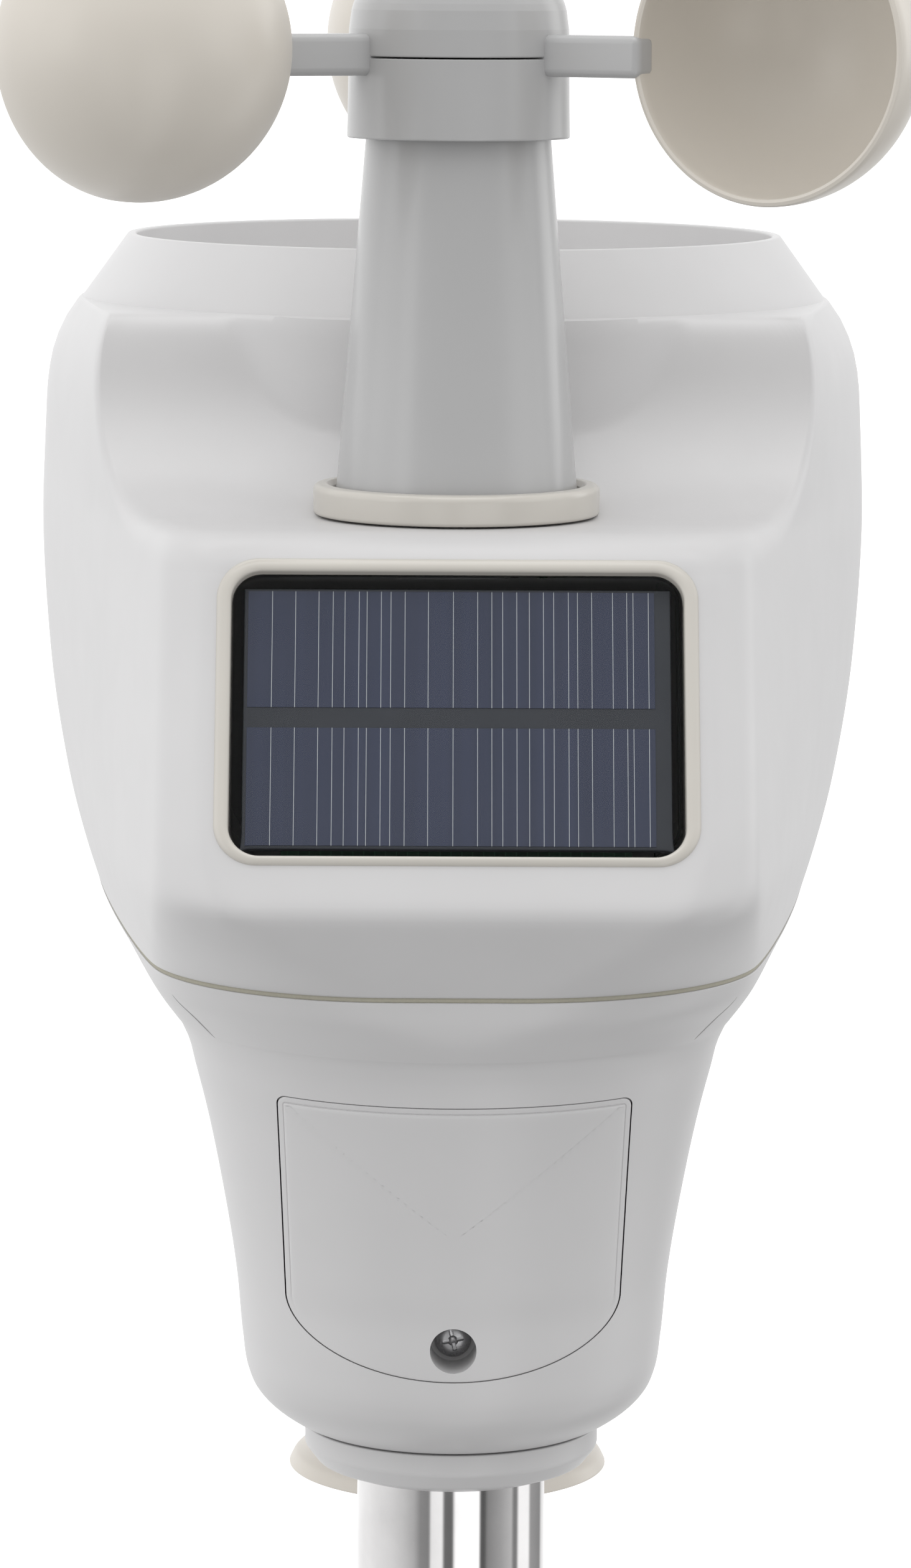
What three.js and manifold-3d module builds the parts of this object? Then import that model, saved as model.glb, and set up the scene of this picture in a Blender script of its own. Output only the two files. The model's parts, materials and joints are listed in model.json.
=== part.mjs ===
// Home weather station on a pole: cup anemometer on a tapered mast, solar window and battery
// compartment in front, tipping-bucket rain gauge behind, radiation shield and wind vane below it.
// Millimetres, +Z up. The pole stands on the origin. The front, with the solar window, faces -Y.
import * as THREE from 'three';
import { mergeVertices } from 'three/addons/utils/BufferGeometryUtils.js';
import Module from 'manifold-3d';

const wasm = await Module();
wasm.setup();

// ---- driving dimensions (heights are above the collar's lower face, unless named otherwise) ----
const POLE_EXPOSED = 130;      // pole below the collar
const POLE_RADIUS = 17.5;
const POLE_WALL = 1.2;
const SOCKET_TOP = 60;         // how far the pole goes up into the housing
const GAP = 0.35;              // clearance between neighbouring pieces
const WALL = 2.2;              // moulded wall
const COLLAR_RADIUS = 27.3;
const COLLAR_TOP = 8.5;
const SEAM = 98;               // height of the joint between the two shells
const REAR_Y = 96;             // rain gauge, shield and vane share this rear axis
const FACE_BREAK = 114.7;      // lower edge of the sloping solar face
const FACE_SLOPE = 0.51;       // how far the face leans back for each unit of height
const LEDGE = 178;             // flat shelf around the mast
const SHOULDER_TOP = 212;
const RIM_TOP = 224.4;         // rain collector
const RIM_RADIUS = 63.9;
const MAST_BASE_RADIUS = 22.35;
const MAST_TOP_RADIUS = 16.6;
const MAST_TOP = 249;
const MAST_WALL = 2.4;
const RING_RADIUS = 27;
const RING_TOP = 184;
const HUB_RADIUS = 20.2;
const HUB_BOTTOM = 246.7;
const HUB_SPLIT = 261.3;
const CUP_RADIUS = 27;
const CUP_WALL = 1.5;
const CUP_ORBIT = 64;          // cup centre from the mast axis
const CUP_HEIGHT = 263;
const CUP_ANGLES = [88, 208, 328];
const CELL_RADIUS = 7.1;       // AA cells
const CELL_LENGTH = 50.2;
const CELL_ORBIT = 28.3;
const CELL_ANGLES = [-121, -59];
const VANE_HUB_RADIUS = 32.3;
const PLATE_RADIUS = 35;
const PLATE_COUNT = 6;
const PLATE_STEP = 12.5;
const FACE_ANGLE = Math.atan(FACE_SLOPE);

const station = new THREE.Group();
station.position.z = POLE_EXPOSED;

// ---- materials ----
const plastic = (color, roughness = 0.55) => new THREE.MeshStandardMaterial({ color, roughness });
const metal = (color, roughness = 0.3) => new THREE.MeshStandardMaterial({ color, roughness, metalness: 1 });
const housingGrey = plastic(0xd4d2d0);
const mastGrey = plastic(0xc2c3c6, 0.45);
const ringGrey = plastic(0xc9c5be, 0.3);
const cupCream = plastic(0xdcd4c8, 0.5);
const cellBlue = plastic(0x262c40, 0.2);
const glassGrey = new THREE.MeshStandardMaterial({ color: 0x39424f, roughness: 0.05 });
const boardGreen = plastic(0x2c5b3d, 0.5);
const sealBlack = plastic(0x2a2a2a, 0.8);
const innerWhite = plastic(0xe4e3df, 0.6);
const labelGreen = plastic(0x4a7a58, 0.4);
const steel = metal(0xc8cacc);
const brass = metal(0xb99a5b, 0.35);
const magnetGrey = metal(0x5c5f63, 0.5);

// ---- solids ----
const toSolid = (geometry) => {
  geometry.deleteAttribute('normal');
  geometry.deleteAttribute('uv');
  const merged = mergeVertices(geometry);
  const index = merged.index.array;
  const triangles = [];
  for (let i = 0; i < index.length; i += 3) {
    const [a, b, c] = [index[i], index[i + 1], index[i + 2]];
    if (a !== b && b !== c && c !== a) triangles.push(a, b, c);
  }
  const vertProperties = Float32Array.from(merged.attributes.position.array);
  if (signedVolume(vertProperties, triangles) < 0) triangles.reverse();
  const triVerts = Uint32Array.from(triangles);
  return new wasm.Manifold(new wasm.Mesh({ numProp: 3, vertProperties, triVerts }));
};

function signedVolume(positions, triangles) {
  const corner = (i) => new THREE.Vector3().fromArray(positions, 3 * i);
  let volume = 0;
  for (let i = 0; i < triangles.length; i += 3) {
    const [a, b, c] = [corner(triangles[i]), corner(triangles[i + 1]), corner(triangles[i + 2])];
    volume += a.dot(b.cross(c)) / 6;
  }
  return volume;
}

const toGeometry = (solid) => {
  const mesh = solid.getMesh();
  const geometry = new THREE.BufferGeometry();
  geometry.setAttribute('position', new THREE.BufferAttribute(mesh.vertProperties, 3));
  geometry.setIndex(new THREE.BufferAttribute(mesh.triVerts, 1));
  geometry.computeVertexNormals();
  return geometry;
};

const add = (name, solid, material, position = [0, 0, 0], parent = station) => {
  const mesh = new THREE.Mesh(toGeometry(solid), material);
  mesh.name = name;
  mesh.position.set(...position);
  parent.add(mesh);
  return mesh;
};

// profile points are [radius, height]; the result turns about Z
const turned = (profile, segments = 32, at = [0, 0, 0]) => {
  const points = profile.map(([radius, height]) => new THREE.Vector2(radius, height));
  const geometry = new THREE.LatheGeometry(points, segments);
  geometry.rotateX(Math.PI / 2);
  geometry.translate(...at);
  return toSolid(geometry);
};

const rod = (radius, low, high, at = [0, 0], segments = 16) => turned(
  [[0, low], [radius, low], [radius, high], [0, high]], segments, [...at, 0]);

const ring = (inner, outer, low, high, at = [0, 0], segments = 32) => turned(
  [[inner, low], [outer, low], [outer, high], [inner, high], [inner, low]], segments, [...at, 0]);

const block = (size, at) => {
  const geometry = new THREE.BoxGeometry(...size);
  geometry.translate(...at);
  return toSolid(geometry);
};

// cylinder lying along Y, from y0 to y1
const rodAlongY = (radius, y0, y1, x, z, segments = 16) => {
  const geometry = new THREE.CylinderGeometry(radius, radius, y1 - y0, segments);
  geometry.translate(x, (y0 + y1) / 2, z);
  return toSolid(geometry);
};

const rodAlongX = (radius, x0, x1, y, z, segments = 20) => {
  const geometry = new THREE.CylinderGeometry(radius, radius, x1 - x0, segments);
  geometry.rotateZ(Math.PI / 2);
  geometry.translate((x0 + x1) / 2, y, z);
  return toSolid(geometry);
};

const roundedRectangle = (width, height, radius) => {
  const [x, y] = [width / 2 - radius, height / 2 - radius];
  const shape = new THREE.Shape();
  shape.absarc(x, y, radius, 0, Math.PI / 2);
  shape.absarc(-x, y, radius, Math.PI / 2, Math.PI);
  shape.absarc(-x, -y, radius, Math.PI, 1.5 * Math.PI);
  shape.absarc(x, -y, radius, 1.5 * Math.PI, 2 * Math.PI);
  return shape;
};

const extruded = (shape, depth, curveSegments = 3) => new THREE.ExtrudeGeometry(
  shape, { depth, bevelEnabled: false, curveSegments });

// ---- plan outline of the housing: two front corner arcs and one rear arc, joined by tangents ----
const OUTLINE_POINTS = 34;
const SOFTNESS = 0.8;
function outline(section, inset = 0) {
  const { frontY, frontHalf, corner, rear } = section;
  const arcs = [
    [frontHalf - corner, frontY + corner, corner],
    [corner - frontHalf, frontY + corner, corner],
    [0, REAR_Y, rear],
  ];
  const points = [];
  for (let k = 0; k < OUTLINE_POINTS; k += 1) {
    const angle = 2 * Math.PI * (k + 0.5) / OUTLINE_POINTS;
    const [ux, uy] = [Math.cos(angle), Math.sin(angle)];
    const reach = arcs.map(([x, y, r]) => x * ux + y * uy + r);
    const most = Math.max(...reach);
    const weights = reach.map((h) => Math.exp((h - most) / SOFTNESS));
    const total = weights.reduce((a, b) => a + b);
    const support = most + SOFTNESS * Math.log(total) - inset;
    let slide = 0;
    arcs.forEach(([x, y], i) => { slide += weights[i] / total * (y * ux - x * uy); });
    points.push([support * ux - slide * uy, support * uy + slide * ux]);
  }
  return points;
}

// rings are [height, points]; all rings have the same number of points
const loft = (rings) => {
  const count = rings[0][1].length;
  const positions = rings.flatMap(([height, points]) => points.flatMap(([x, y]) => [x, y, height]));
  const centre = (points) => [0, 1].map((axis) => points.reduce((sum, p) => sum + p[axis], 0) / count);
  const last = rings.length - 1;
  positions.push(...centre(rings[0][1]), rings[0][0], ...centre(rings[last][1]), rings[last][0]);
  const [bottom, top] = [rings.length * count, rings.length * count + 1];
  const index = [];
  for (let k = 0; k < count; k += 1) {
    const next = (k + 1) % count;
    for (let level = 0; level < last; level += 1) {
      const [a, b] = [level * count + k, level * count + next];
      index.push(a, b, b + count, a, b + count, a + count);
    }
    index.push(bottom, next, k, top, last * count + k, last * count + next);
  }
  const geometry = new THREE.BufferGeometry();
  geometry.setAttribute('position', new THREE.Float32BufferAttribute(positions, 3));
  geometry.setIndex(index);
  return toSolid(geometry);
};

const faceY = (z) => -40 - (169.4 - z) * FACE_SLOPE;
const bandY = (z) => -56 - (z - SEAM) * (-faceY(FACE_BREAK) - 56) / (FACE_BREAK - SEAM);
const frontY = (z) => (z < FACE_BREAK ? bandY(z) : faceY(z));

// height, half width of the front, front corner radius, rear radius
const UPPER_SECTIONS = [
  [SEAM + 0.4, 57.5, 43, 70.9],
  [106, 55.6, 29, 73.3],
  [FACE_BREAK, 54, 16, 75.7],
  [124, 53.5, 10, 77.5],
  [140, 53.5, 8, 79.8],
  [164, 53.5, 8, 81.5],
  [LEDGE, 53.5, 9, 81.3],
  [197, 53.5, 10, 80.2],
  [204, 53.5, 12, 78.6],
  [208.6, 54, 16, 76.2],
  [SHOULDER_TOP, 55, 22, 72.6],
];
const upperSection = ([z, frontHalf, corner, rear]) => ({
  frontY: frontY(Math.min(z, LEDGE)), frontHalf, corner, rear });

// ---- scoop between the ledge and the rain collector ----
// a hollow that rises straight towards the rear, and a tighter fillet round the rain collector's wall
const HOLLOW_FOOT_Y = -8;
const HOLLOW_RADIUS = 40;
const FILLET_FOOT = 97;
const FILLET_RADIUS = 22;
const SCOOP_HIGH = SHOULDER_TOP + 60;
const SCOOP_WIDTH = 400;
const arcSteps = (count) => Array.from({ length: count }, (_, i) => (i + 1) / count * Math.PI / 2);

function scoopTool() {
  const hollowArc = arcSteps(8).map((angle) => [
    HOLLOW_FOOT_Y + HOLLOW_RADIUS * Math.sin(angle), LEDGE + HOLLOW_RADIUS * (1 - Math.cos(angle))]);
  const filletArc = arcSteps(5).map((angle) => [
    FILLET_FOOT - FILLET_RADIUS * Math.sin(angle), LEDGE + FILLET_RADIUS * (1 - Math.cos(angle))]);
  const hollow = [[-150, LEDGE], [HOLLOW_FOOT_Y, LEDGE], ...hollowArc,
    [HOLLOW_FOOT_Y + HOLLOW_RADIUS, SCOOP_HIGH], [-150, SCOOP_HIGH]];
  const fillet = [[300, SCOOP_HIGH], [300, LEDGE], [FILLET_FOOT, LEDGE], ...filletArc,
    [FILLET_FOOT - FILLET_RADIUS, SCOOP_HIGH], [300, SCOOP_HIGH]];
  return prismAlongX(hollow, SCOOP_WIDTH).intersect(turned(fillet, 52, [0, REAR_Y, 0]));
}

// ---- rain collector, debris filter ----
const COLLECTOR_PROFILE = [
  [RIM_RADIUS, RIM_TOP - 0.6], [71.6, SHOULDER_TOP], [74.5, 207.2], [72.6, 207.2], [64.8, 220],
  [62.9, 203.5], [60.9, 200.6], [6.6, 174.2], [6.6, 163], [4.6, 163], [4.6, 175.5], [59.8, 202.3],
  [61.3, 205], [62.4, RIM_TOP - 0.6], [63.1, RIM_TOP], [RIM_RADIUS, RIM_TOP - 0.6],
];

function rainCollector() {
  add('rain_collector', turned(COLLECTOR_PROFILE, 34), housingGrey, [0, REAR_Y, 0]);
  const ribs = [0, 60, 120].map((angle) => {
    const geometry = new THREE.BoxGeometry(19, 1.2, 3.2);
    geometry.translate(0, 0, 184.4);
    geometry.rotateZ(THREE.MathUtils.degToRad(angle));
    return toSolid(geometry);
  });
  const cage = ring(9.4, 11, 179.4, 184, [0, 0], 16).add(ring(2, 3.4, 182, 186.4, [0, 0], 16));
  const filter = ribs.reduce((body, rib) => body.add(rib), cage);
  add('debris_filter', filter, innerWhite, [0, REAR_Y, 0]);
}

// ---- upper shell ----
const FACE_MIDDLE_Z = 148.1;
const WINDOW_WIDTH = 79.4;
const WINDOW_HEIGHT = 52.5;
const WINDOW_CORNER = 5.3;
const BEZEL_MARGIN = 2.8;
const BEZEL_CORNER = 7.5;
const POCKET_DEPTH = 2.35;

// placed on the solar face: local X across, local Y up the slope, local Z out of the face
const onFace = (geometry, out) => {
  geometry.translate(0, 0, out);
  geometry.rotateX(Math.PI / 2 - FACE_ANGLE);
  geometry.translate(0, faceY(FACE_MIDDLE_Z), FACE_MIDDLE_Z);
  return toSolid(geometry);
};
const facePlate = (width, height, radius, low, high) => onFace(
  extruded(roundedRectangle(width, height, radius), high - low), low);

function upperShell() {
  const rings = UPPER_SECTIONS.map((row) => [row[0], outline(upperSection(row))]);
  const outer = loft(rings).subtract(scoopTool());
  const below = UPPER_SECTIONS.filter((row) => row[0] < LEDGE - WALL);
  const rows = [[SEAM - 1, ...UPPER_SECTIONS[0].slice(1)], ...below, [LEDGE - WALL, 53.5, 9, 81.3]];
  const inset = (z) => WALL + (z > FACE_BREAK - 8 ? 1 : 0);
  const cavity = loft(rows.map((row) => [row[0], outline(upperSection(row), inset(row[0]))]));
  const well = turned([[0, LEDGE - 4], [77.4, LEDGE - 4], [77.4, 198], [74.9, 206.6], [74.9, 207.2],
    [72, SHOULDER_TOP], [72, 240], [0, 240]], 36, [0, REAR_Y, 0]);
  const wellFront = scoopTool().translate([0, WALL, -WALL]);
  const seat = rod(31, LEDGE - 6, 206, [0, 0], 30).intersect(outer);
  const ringRecess = rod(RING_RADIUS + GAP, LEDGE, RING_TOP + GAP, [0, 0], 28);
  const mastRecess = rod(MAST_BASE_RADIUS + GAP, RING_TOP, 240, [0, 0], 28);
  const wireHole = rod(15, LEDGE - 10, LEDGE + 2, [0, 0], 32);
  const collectorRoom = turned([[0, 185], [62, 199], [74.9, 206.6], [74.9, 207.3], [72, SHOULDER_TOP],
    [64.4, 226], [0, 226]], 36, [0, REAR_Y, 0]);
  const bezelCorner = BEZEL_CORNER + GAP;
  const pocket = facePlate(WINDOW_WIDTH + 2 * BEZEL_MARGIN + 2 * GAP, WINDOW_HEIGHT + 2 * BEZEL_MARGIN + 2 * GAP,
    bezelCorner, -POCKET_DEPTH, 30);
  const hatch = facePlate(WINDOW_WIDTH - 3, WINDOW_HEIGHT - 3, WINDOW_CORNER, -10, 1);
  const shell = outer.subtract(cavity).subtract(well.subtract(wellFront)).add(seat)
    .subtract(ringRecess).subtract(mastRecess).subtract(wireHole).subtract(collectorRoom)
    .subtract(pocket).subtract(hatch);
  add('upper_shell', shell, housingGrey);
}

function solarWindow() {
  const [width, height] = [WINDOW_WIDTH, WINDOW_HEIGHT];
  const frame = facePlate(width + 2 * BEZEL_MARGIN, height + 2 * BEZEL_MARGIN, BEZEL_CORNER, -2, 1)
    .subtract(facePlate(width + 2 * GAP, height + 2 * GAP, WINDOW_CORNER + GAP, -3, 2));
  add('solar_bezel', frame, ringGrey);
  add('solar_cover', facePlate(width, height, WINDOW_CORNER, -2, 0.2), glassGrey);
  add('solar_panel', facePlate(width - 4, height - 4, WINDOW_CORNER - 1, -3.7, -2.5), cellBlue);
}

// ---- lower shell with the pole socket and the battery compartment ----
// radius of the bowl by height, turned about the pole
const BOWL_PROFILE = [
  [27.3, COLLAR_TOP + GAP], [32.4, 11.7], [36.7, 15.9], [38.8, 25.4], [42.7, 54], [47.8, 77], [51.2, 86],
  [51.2, SEAM - 0.4],
];
// height, radius about the pole, front corner radius, rear radius
const PAN_SECTIONS = [
  [86, 51.4, 50, 46],
  [89.5, 54.3, 47, 57],
  [93.5, 56.4, 44, 65.5],
  [SEAM - 0.4, 57.5, 43, 70.9],
];
const panSection = ([z, reach, corner, rear]) => ({
  frontY: -reach + (z - PAN_SECTIONS[0][0]) * 0.12, frontHalf: reach, corner, rear });
const DOOR_TOP = 77;
const DOOR_HALF = 31.8;
const DOOR_LOW_HALF = 30.4;
const DOOR_BEND = 39;
const DOOR_BOTTOM = 25.1;
const SCREW_Z = 31;
const SCREW_SEAT_Y = -29;
const SCREW_END_Y = -20.6;

const bowl = (inset, low) => {
  const points = BOWL_PROFILE.filter((point) => point[1] > low).map(([r, z]) => [r - inset, z]);
  const high = inset ? SEAM + 5 : SEAM - 0.4;
  const radiusAtFloor = points[0][0] - (inset ? 2 : 0);
  const start = inset ? [[0, low], [radiusAtFloor, low]] : [[0, points[0][1]]];
  return turned([...start, ...points, [points.at(-1)[0], high], [0, high]], 28);
};

const doorPrism = (grow) => {
  const shape = new THREE.Shape();
  shape.moveTo(DOOR_HALF + grow, DOOR_TOP + grow);
  shape.lineTo(-DOOR_HALF - grow, DOOR_TOP + grow);
  shape.lineTo(-DOOR_LOW_HALF - grow, DOOR_BEND);
  shape.absellipse(0, DOOR_BEND, DOOR_LOW_HALF + grow, DOOR_BEND - DOOR_BOTTOM + grow, Math.PI, 2 * Math.PI);
  const geometry = extruded(shape, 70, 9);
  geometry.rotateX(Math.PI / 2);
  return toSolid(geometry);
};

function lowerShell() {
  const pan = loft(PAN_SECTIONS.map((row) => [row[0], outline(panSection(row))]));
  const innerRows = PAN_SECTIONS.map((row) => [row[0] + (row === PAN_SECTIONS[3] ? 5 : WALL), row]);
  const panRoom = loft(innerRows.map(([z, row]) => [z, outline(panSection(row), WALL)]));
  const socket = ring(POLE_RADIUS + GAP, 19.6, COLLAR_TOP + GAP, SOCKET_TOP + 3, [0, 0], 30)
    .add(rod(19, SOCKET_TOP + 1, SOCKET_TOP + 3, [0, 0], 30));
  const screwPost = rodAlongY(3.8, SCREW_SEAT_Y + 2.45, -19, 0, SCREW_Z, 20);
  const drains = rod(3, 80, 95, [-18, REAR_Y], 16).add(rod(3, 80, 95, [18, REAR_Y], 16));
  const sensorPort = rod(11, 80, 95, [0, REAR_Y], 32);
  const slots = [-1, 1].map((side) => drainSlot(side)).reduce((a, b) => a.add(b));
  const shell = bowl(0, 0).add(pan).subtract(bowl(WALL, 11)).subtract(panRoom)
    .subtract(doorPrism(GAP).intersect(block([80, 50, 80], [0, -45, 50])))
    .add(socket).add(screwPost)
    .subtract(rod(POLE_RADIUS + GAP, 0, SOCKET_TOP + GAP, [0, 0], 30))
    .subtract(rodAlongY(1.85, -40, SCREW_END_Y + 0.4, 0, SCREW_Z, 16))
    .subtract(drains).subtract(sensorPort).subtract(slots);
  add('lower_shell', shell, housingGrey);
}

// lens-shaped slot through the flare on each side of the front
function drainSlot(side) {
  const slot = new THREE.Shape();
  slot.moveTo(0, -6.2);
  slot.quadraticCurveTo(1.5, 0, 0, 6.2);
  slot.quadraticCurveTo(-0.5, 0, 0, -6.2);
  const geometry = extruded(slot, 20, 4);
  geometry.rotateZ(side * 0.55);
  geometry.rotateX(Math.PI / 2);
  geometry.translate(side * 47.6, -16, 89.5);
  return toSolid(geometry);
}

function batteryDoor() {
  const skin = bowl(0, 0).subtract(bowl(WALL, 11));
  const cup = rodAlongY(5.4, -39.2, SCREW_SEAT_Y + 2, 0, SCREW_Z, 24);
  const door = skin.intersect(doorPrism(0)).add(cup.intersect(bowl(0, 0)))
    .subtract(rodAlongY(4.35, -60, SCREW_SEAT_Y, 0, SCREW_Z, 24))
    .subtract(rodAlongY(1.9, -60, -20, 0, SCREW_Z, 16));
  add('battery_door', door, housingGrey);
  const sealBand = bowl(WALL + GAP, 11).subtract(bowl(WALL + GAP + 1, 11));
  const front = block([80, 50, 80], [0, -45, 50]);
  const seal = sealBand.intersect(doorPrism(-0.8)).subtract(doorPrism(-2.4)).intersect(front)
    .subtract(rodAlongY(5.8, -60, -20, 0, SCREW_Z));
  add('door_seal', seal, sealBlack);
  const head = rodAlongY(3.3, SCREW_SEAT_Y - GAP - 1.9, SCREW_SEAT_Y - GAP, 0, SCREW_Z, 24);
  const slots = block([4, 1.1, 0.9], [0, SCREW_SEAT_Y - GAP - 1.9, SCREW_Z])
    .add(block([0.9, 1.1, 4], [0, SCREW_SEAT_Y - GAP - 1.9, SCREW_Z]));
  const screw = head.subtract(slots).add(rodAlongY(1.5, SCREW_SEAT_Y - GAP - 0.4, SCREW_END_Y, 0, SCREW_Z, 14));
  add('door_screw', screw, steel);
}

function batteries() {
  const [floor, roof] = [24.2, 81.8];
  const wall = ring(19.95, 20.65, floor, roof, [0, 0], 30);
  const plates = ring(19.95, 35.4, floor, floor + 1, [0, 0], 30).add(ring(19.95, 37.5, roof - 1, roof, [0, 0], 30));
  const tray = wall.add(plates).intersect(block([90, 40, 80], [0, -29, 50]))
    .subtract(rodAlongY(4.2, -40, -10, 0, SCREW_Z, 20));
  add('battery_tray', tray, innerWhite);
  CELL_ANGLES.forEach((degrees, i) => {
    const angle = THREE.MathUtils.degToRad(degrees);
    const at = [CELL_ORBIT * Math.cos(angle), CELL_ORBIT * Math.sin(angle)];
    const low = 29.6;
    const cell = rod(CELL_RADIUS, low, low + CELL_LENGTH - 1.2, at, 24)
      .add(rod(2.7, low + CELL_LENGTH - 1.5, low + CELL_LENGTH, at, 16));
    add(`battery_${i + 1}`, cell, labelGreen);
    add(`contact_spring_${i + 1}`, spring(2.9, 0.4, floor + 1 + 0.8, low - 0.8, at, 2.5), steel);
  });
  const strip = block([37, 7, 0.4], [0, CELL_ORBIT * Math.sin(THREE.MathUtils.degToRad(CELL_ANGLES[0])), roof - 1.5]);
  add('contact_strip', strip, brass);
}

class Helix extends THREE.Curve {
  constructor(radius, low, high, turns) {
    super();
    Object.assign(this, { radius, low, high, turns });
  }

  getPoint(t) {
    const angle = 2 * Math.PI * this.turns * t;
    const height = this.low + (this.high - this.low) * t;
    return new THREE.Vector3(this.radius * Math.cos(angle), this.radius * Math.sin(angle), height);
  }
}

function spring(radius, wire, low, high, at, turns) {
  const section = new THREE.Shape();
  section.absarc(0, 0, wire, 0, 2 * Math.PI);
  const extrudePath = new Helix(radius, low, high, turns);
  const geometry = new THREE.ExtrudeGeometry(section, {
    steps: 8 * turns, curveSegments: 2, bevelEnabled: false, extrudePath });
  geometry.translate(...at, 0);
  return toSolid(geometry);
}

// ---- pole and collar ----
function pole() {
  const low = -POLE_EXPOSED + 3;
  add('pole', ring(POLE_RADIUS - POLE_WALL, POLE_RADIUS, low, SOCKET_TOP, [0, 0], 28), steel);
  const plug = rod(POLE_RADIUS - POLE_WALL - GAP, low - 1, low + 9, [0, 0], 30);
  const cap = rod(POLE_RADIUS, -POLE_EXPOSED, low - GAP, [0, 0], 28).add(plug);
  add('pole_end_cap', cap, sealBlack);
  const profile = [[POLE_RADIUS + GAP, 0], [24.4, 0], [25.9, 0.4], [26.9, 1.4], [COLLAR_RADIUS, 2.9],
    [COLLAR_RADIUS, COLLAR_TOP], [POLE_RADIUS + GAP, COLLAR_TOP], [POLE_RADIUS + GAP, 0]];
  add('pole_collar', turned(profile, 32).subtract(rodAlongY(2.35, 15, 30, 0, 4.2, 16)), housingGrey);
  add('collar_screw', rodAlongY(2, POLE_RADIUS + GAP, 28.4, 0, 4.2, 16), steel);
}

// ---- mast, wind sensor and cups ----
const mastRadius = (z) => MAST_BASE_RADIUS
  + (MAST_TOP_RADIUS - MAST_BASE_RADIUS) * (z - LEDGE) / (MAST_TOP - LEDGE);

function mast() {
  const low = LEDGE + GAP;
  const [inside, roof] = [mastRadius(low) - MAST_WALL, MAST_TOP - 2.4];
  const body = turned([[inside, low], [mastRadius(low), low], [mastRadius(MAST_TOP), MAST_TOP], [4.4, MAST_TOP],
    [4.4, MAST_TOP - 16], [6.4, MAST_TOP - 16], [6.4, roof], [mastRadius(roof) - MAST_WALL, roof], [inside, low]], 28);
  add('mast_post', body, mastGrey);
  const inner = MAST_BASE_RADIUS + GAP;
  add('mast_ring', turned([[inner, low], [RING_RADIUS, low], [RING_RADIUS, RING_TOP - 2.2], [26.2, RING_TOP - 0.6],
    [24.6, RING_TOP], [inner, RING_TOP], [inner, low]], 28), ringGrey);
  add('rotor_bearing_upper', ring(2.1, 4.05, MAST_TOP - 3, MAST_TOP, [0, 0], 16), steel);
  add('rotor_bearing_lower', ring(2.1, 4.05, MAST_TOP - 15.6, MAST_TOP - 12.6, [0, 0], 16), steel);
  const board = rod(13, 218, 219.6, [0, 0], 32).add(block([5, 2.4, 2], [5, 0, 220.4]));
  add('wind_sensor_board', board, boardGreen);
}

const ARM_LOW = 258;
const ARM_HIGH = 265.5;
const armSolid = (degrees, grow = 0) => {
  const section = new THREE.Shape();
  const [half, low, high] = [3 + grow, ARM_LOW - grow, ARM_HIGH + grow];
  section.moveTo(-half, low);
  section.lineTo(half, low);
  section.lineTo(half, high - 1.6);
  section.lineTo(half - 1.6, high);
  section.lineTo(-half + 1.6, high);
  section.lineTo(-half, high - 1.6);
  const geometry = extruded(section, 34);
  geometry.rotateX(Math.PI / 2);
  geometry.rotateZ(Math.PI);
  geometry.translate(0, 8, 0);
  geometry.rotateZ(THREE.MathUtils.degToRad(degrees - 90));
  return toSolid(geometry);
};

const cupCentre = (degrees) => {
  const angle = THREE.MathUtils.degToRad(degrees);
  return [CUP_ORBIT * Math.cos(angle), CUP_ORBIT * Math.sin(angle), CUP_HEIGHT];
};

function hemisphere(outer, inner, segments, steps) {
  const arc = (radius, from, to) => Array.from({ length: steps + 1 }, (_, i) => {
    const angle = (from + (to - from) * i / steps) * Math.PI / 2;
    return [radius * Math.cos(angle), radius * Math.sin(angle)];
  });
  return turned([...arc(outer, 0, 1), ...arc(inner, 1, 0), [outer, 0]], segments);
}

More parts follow.
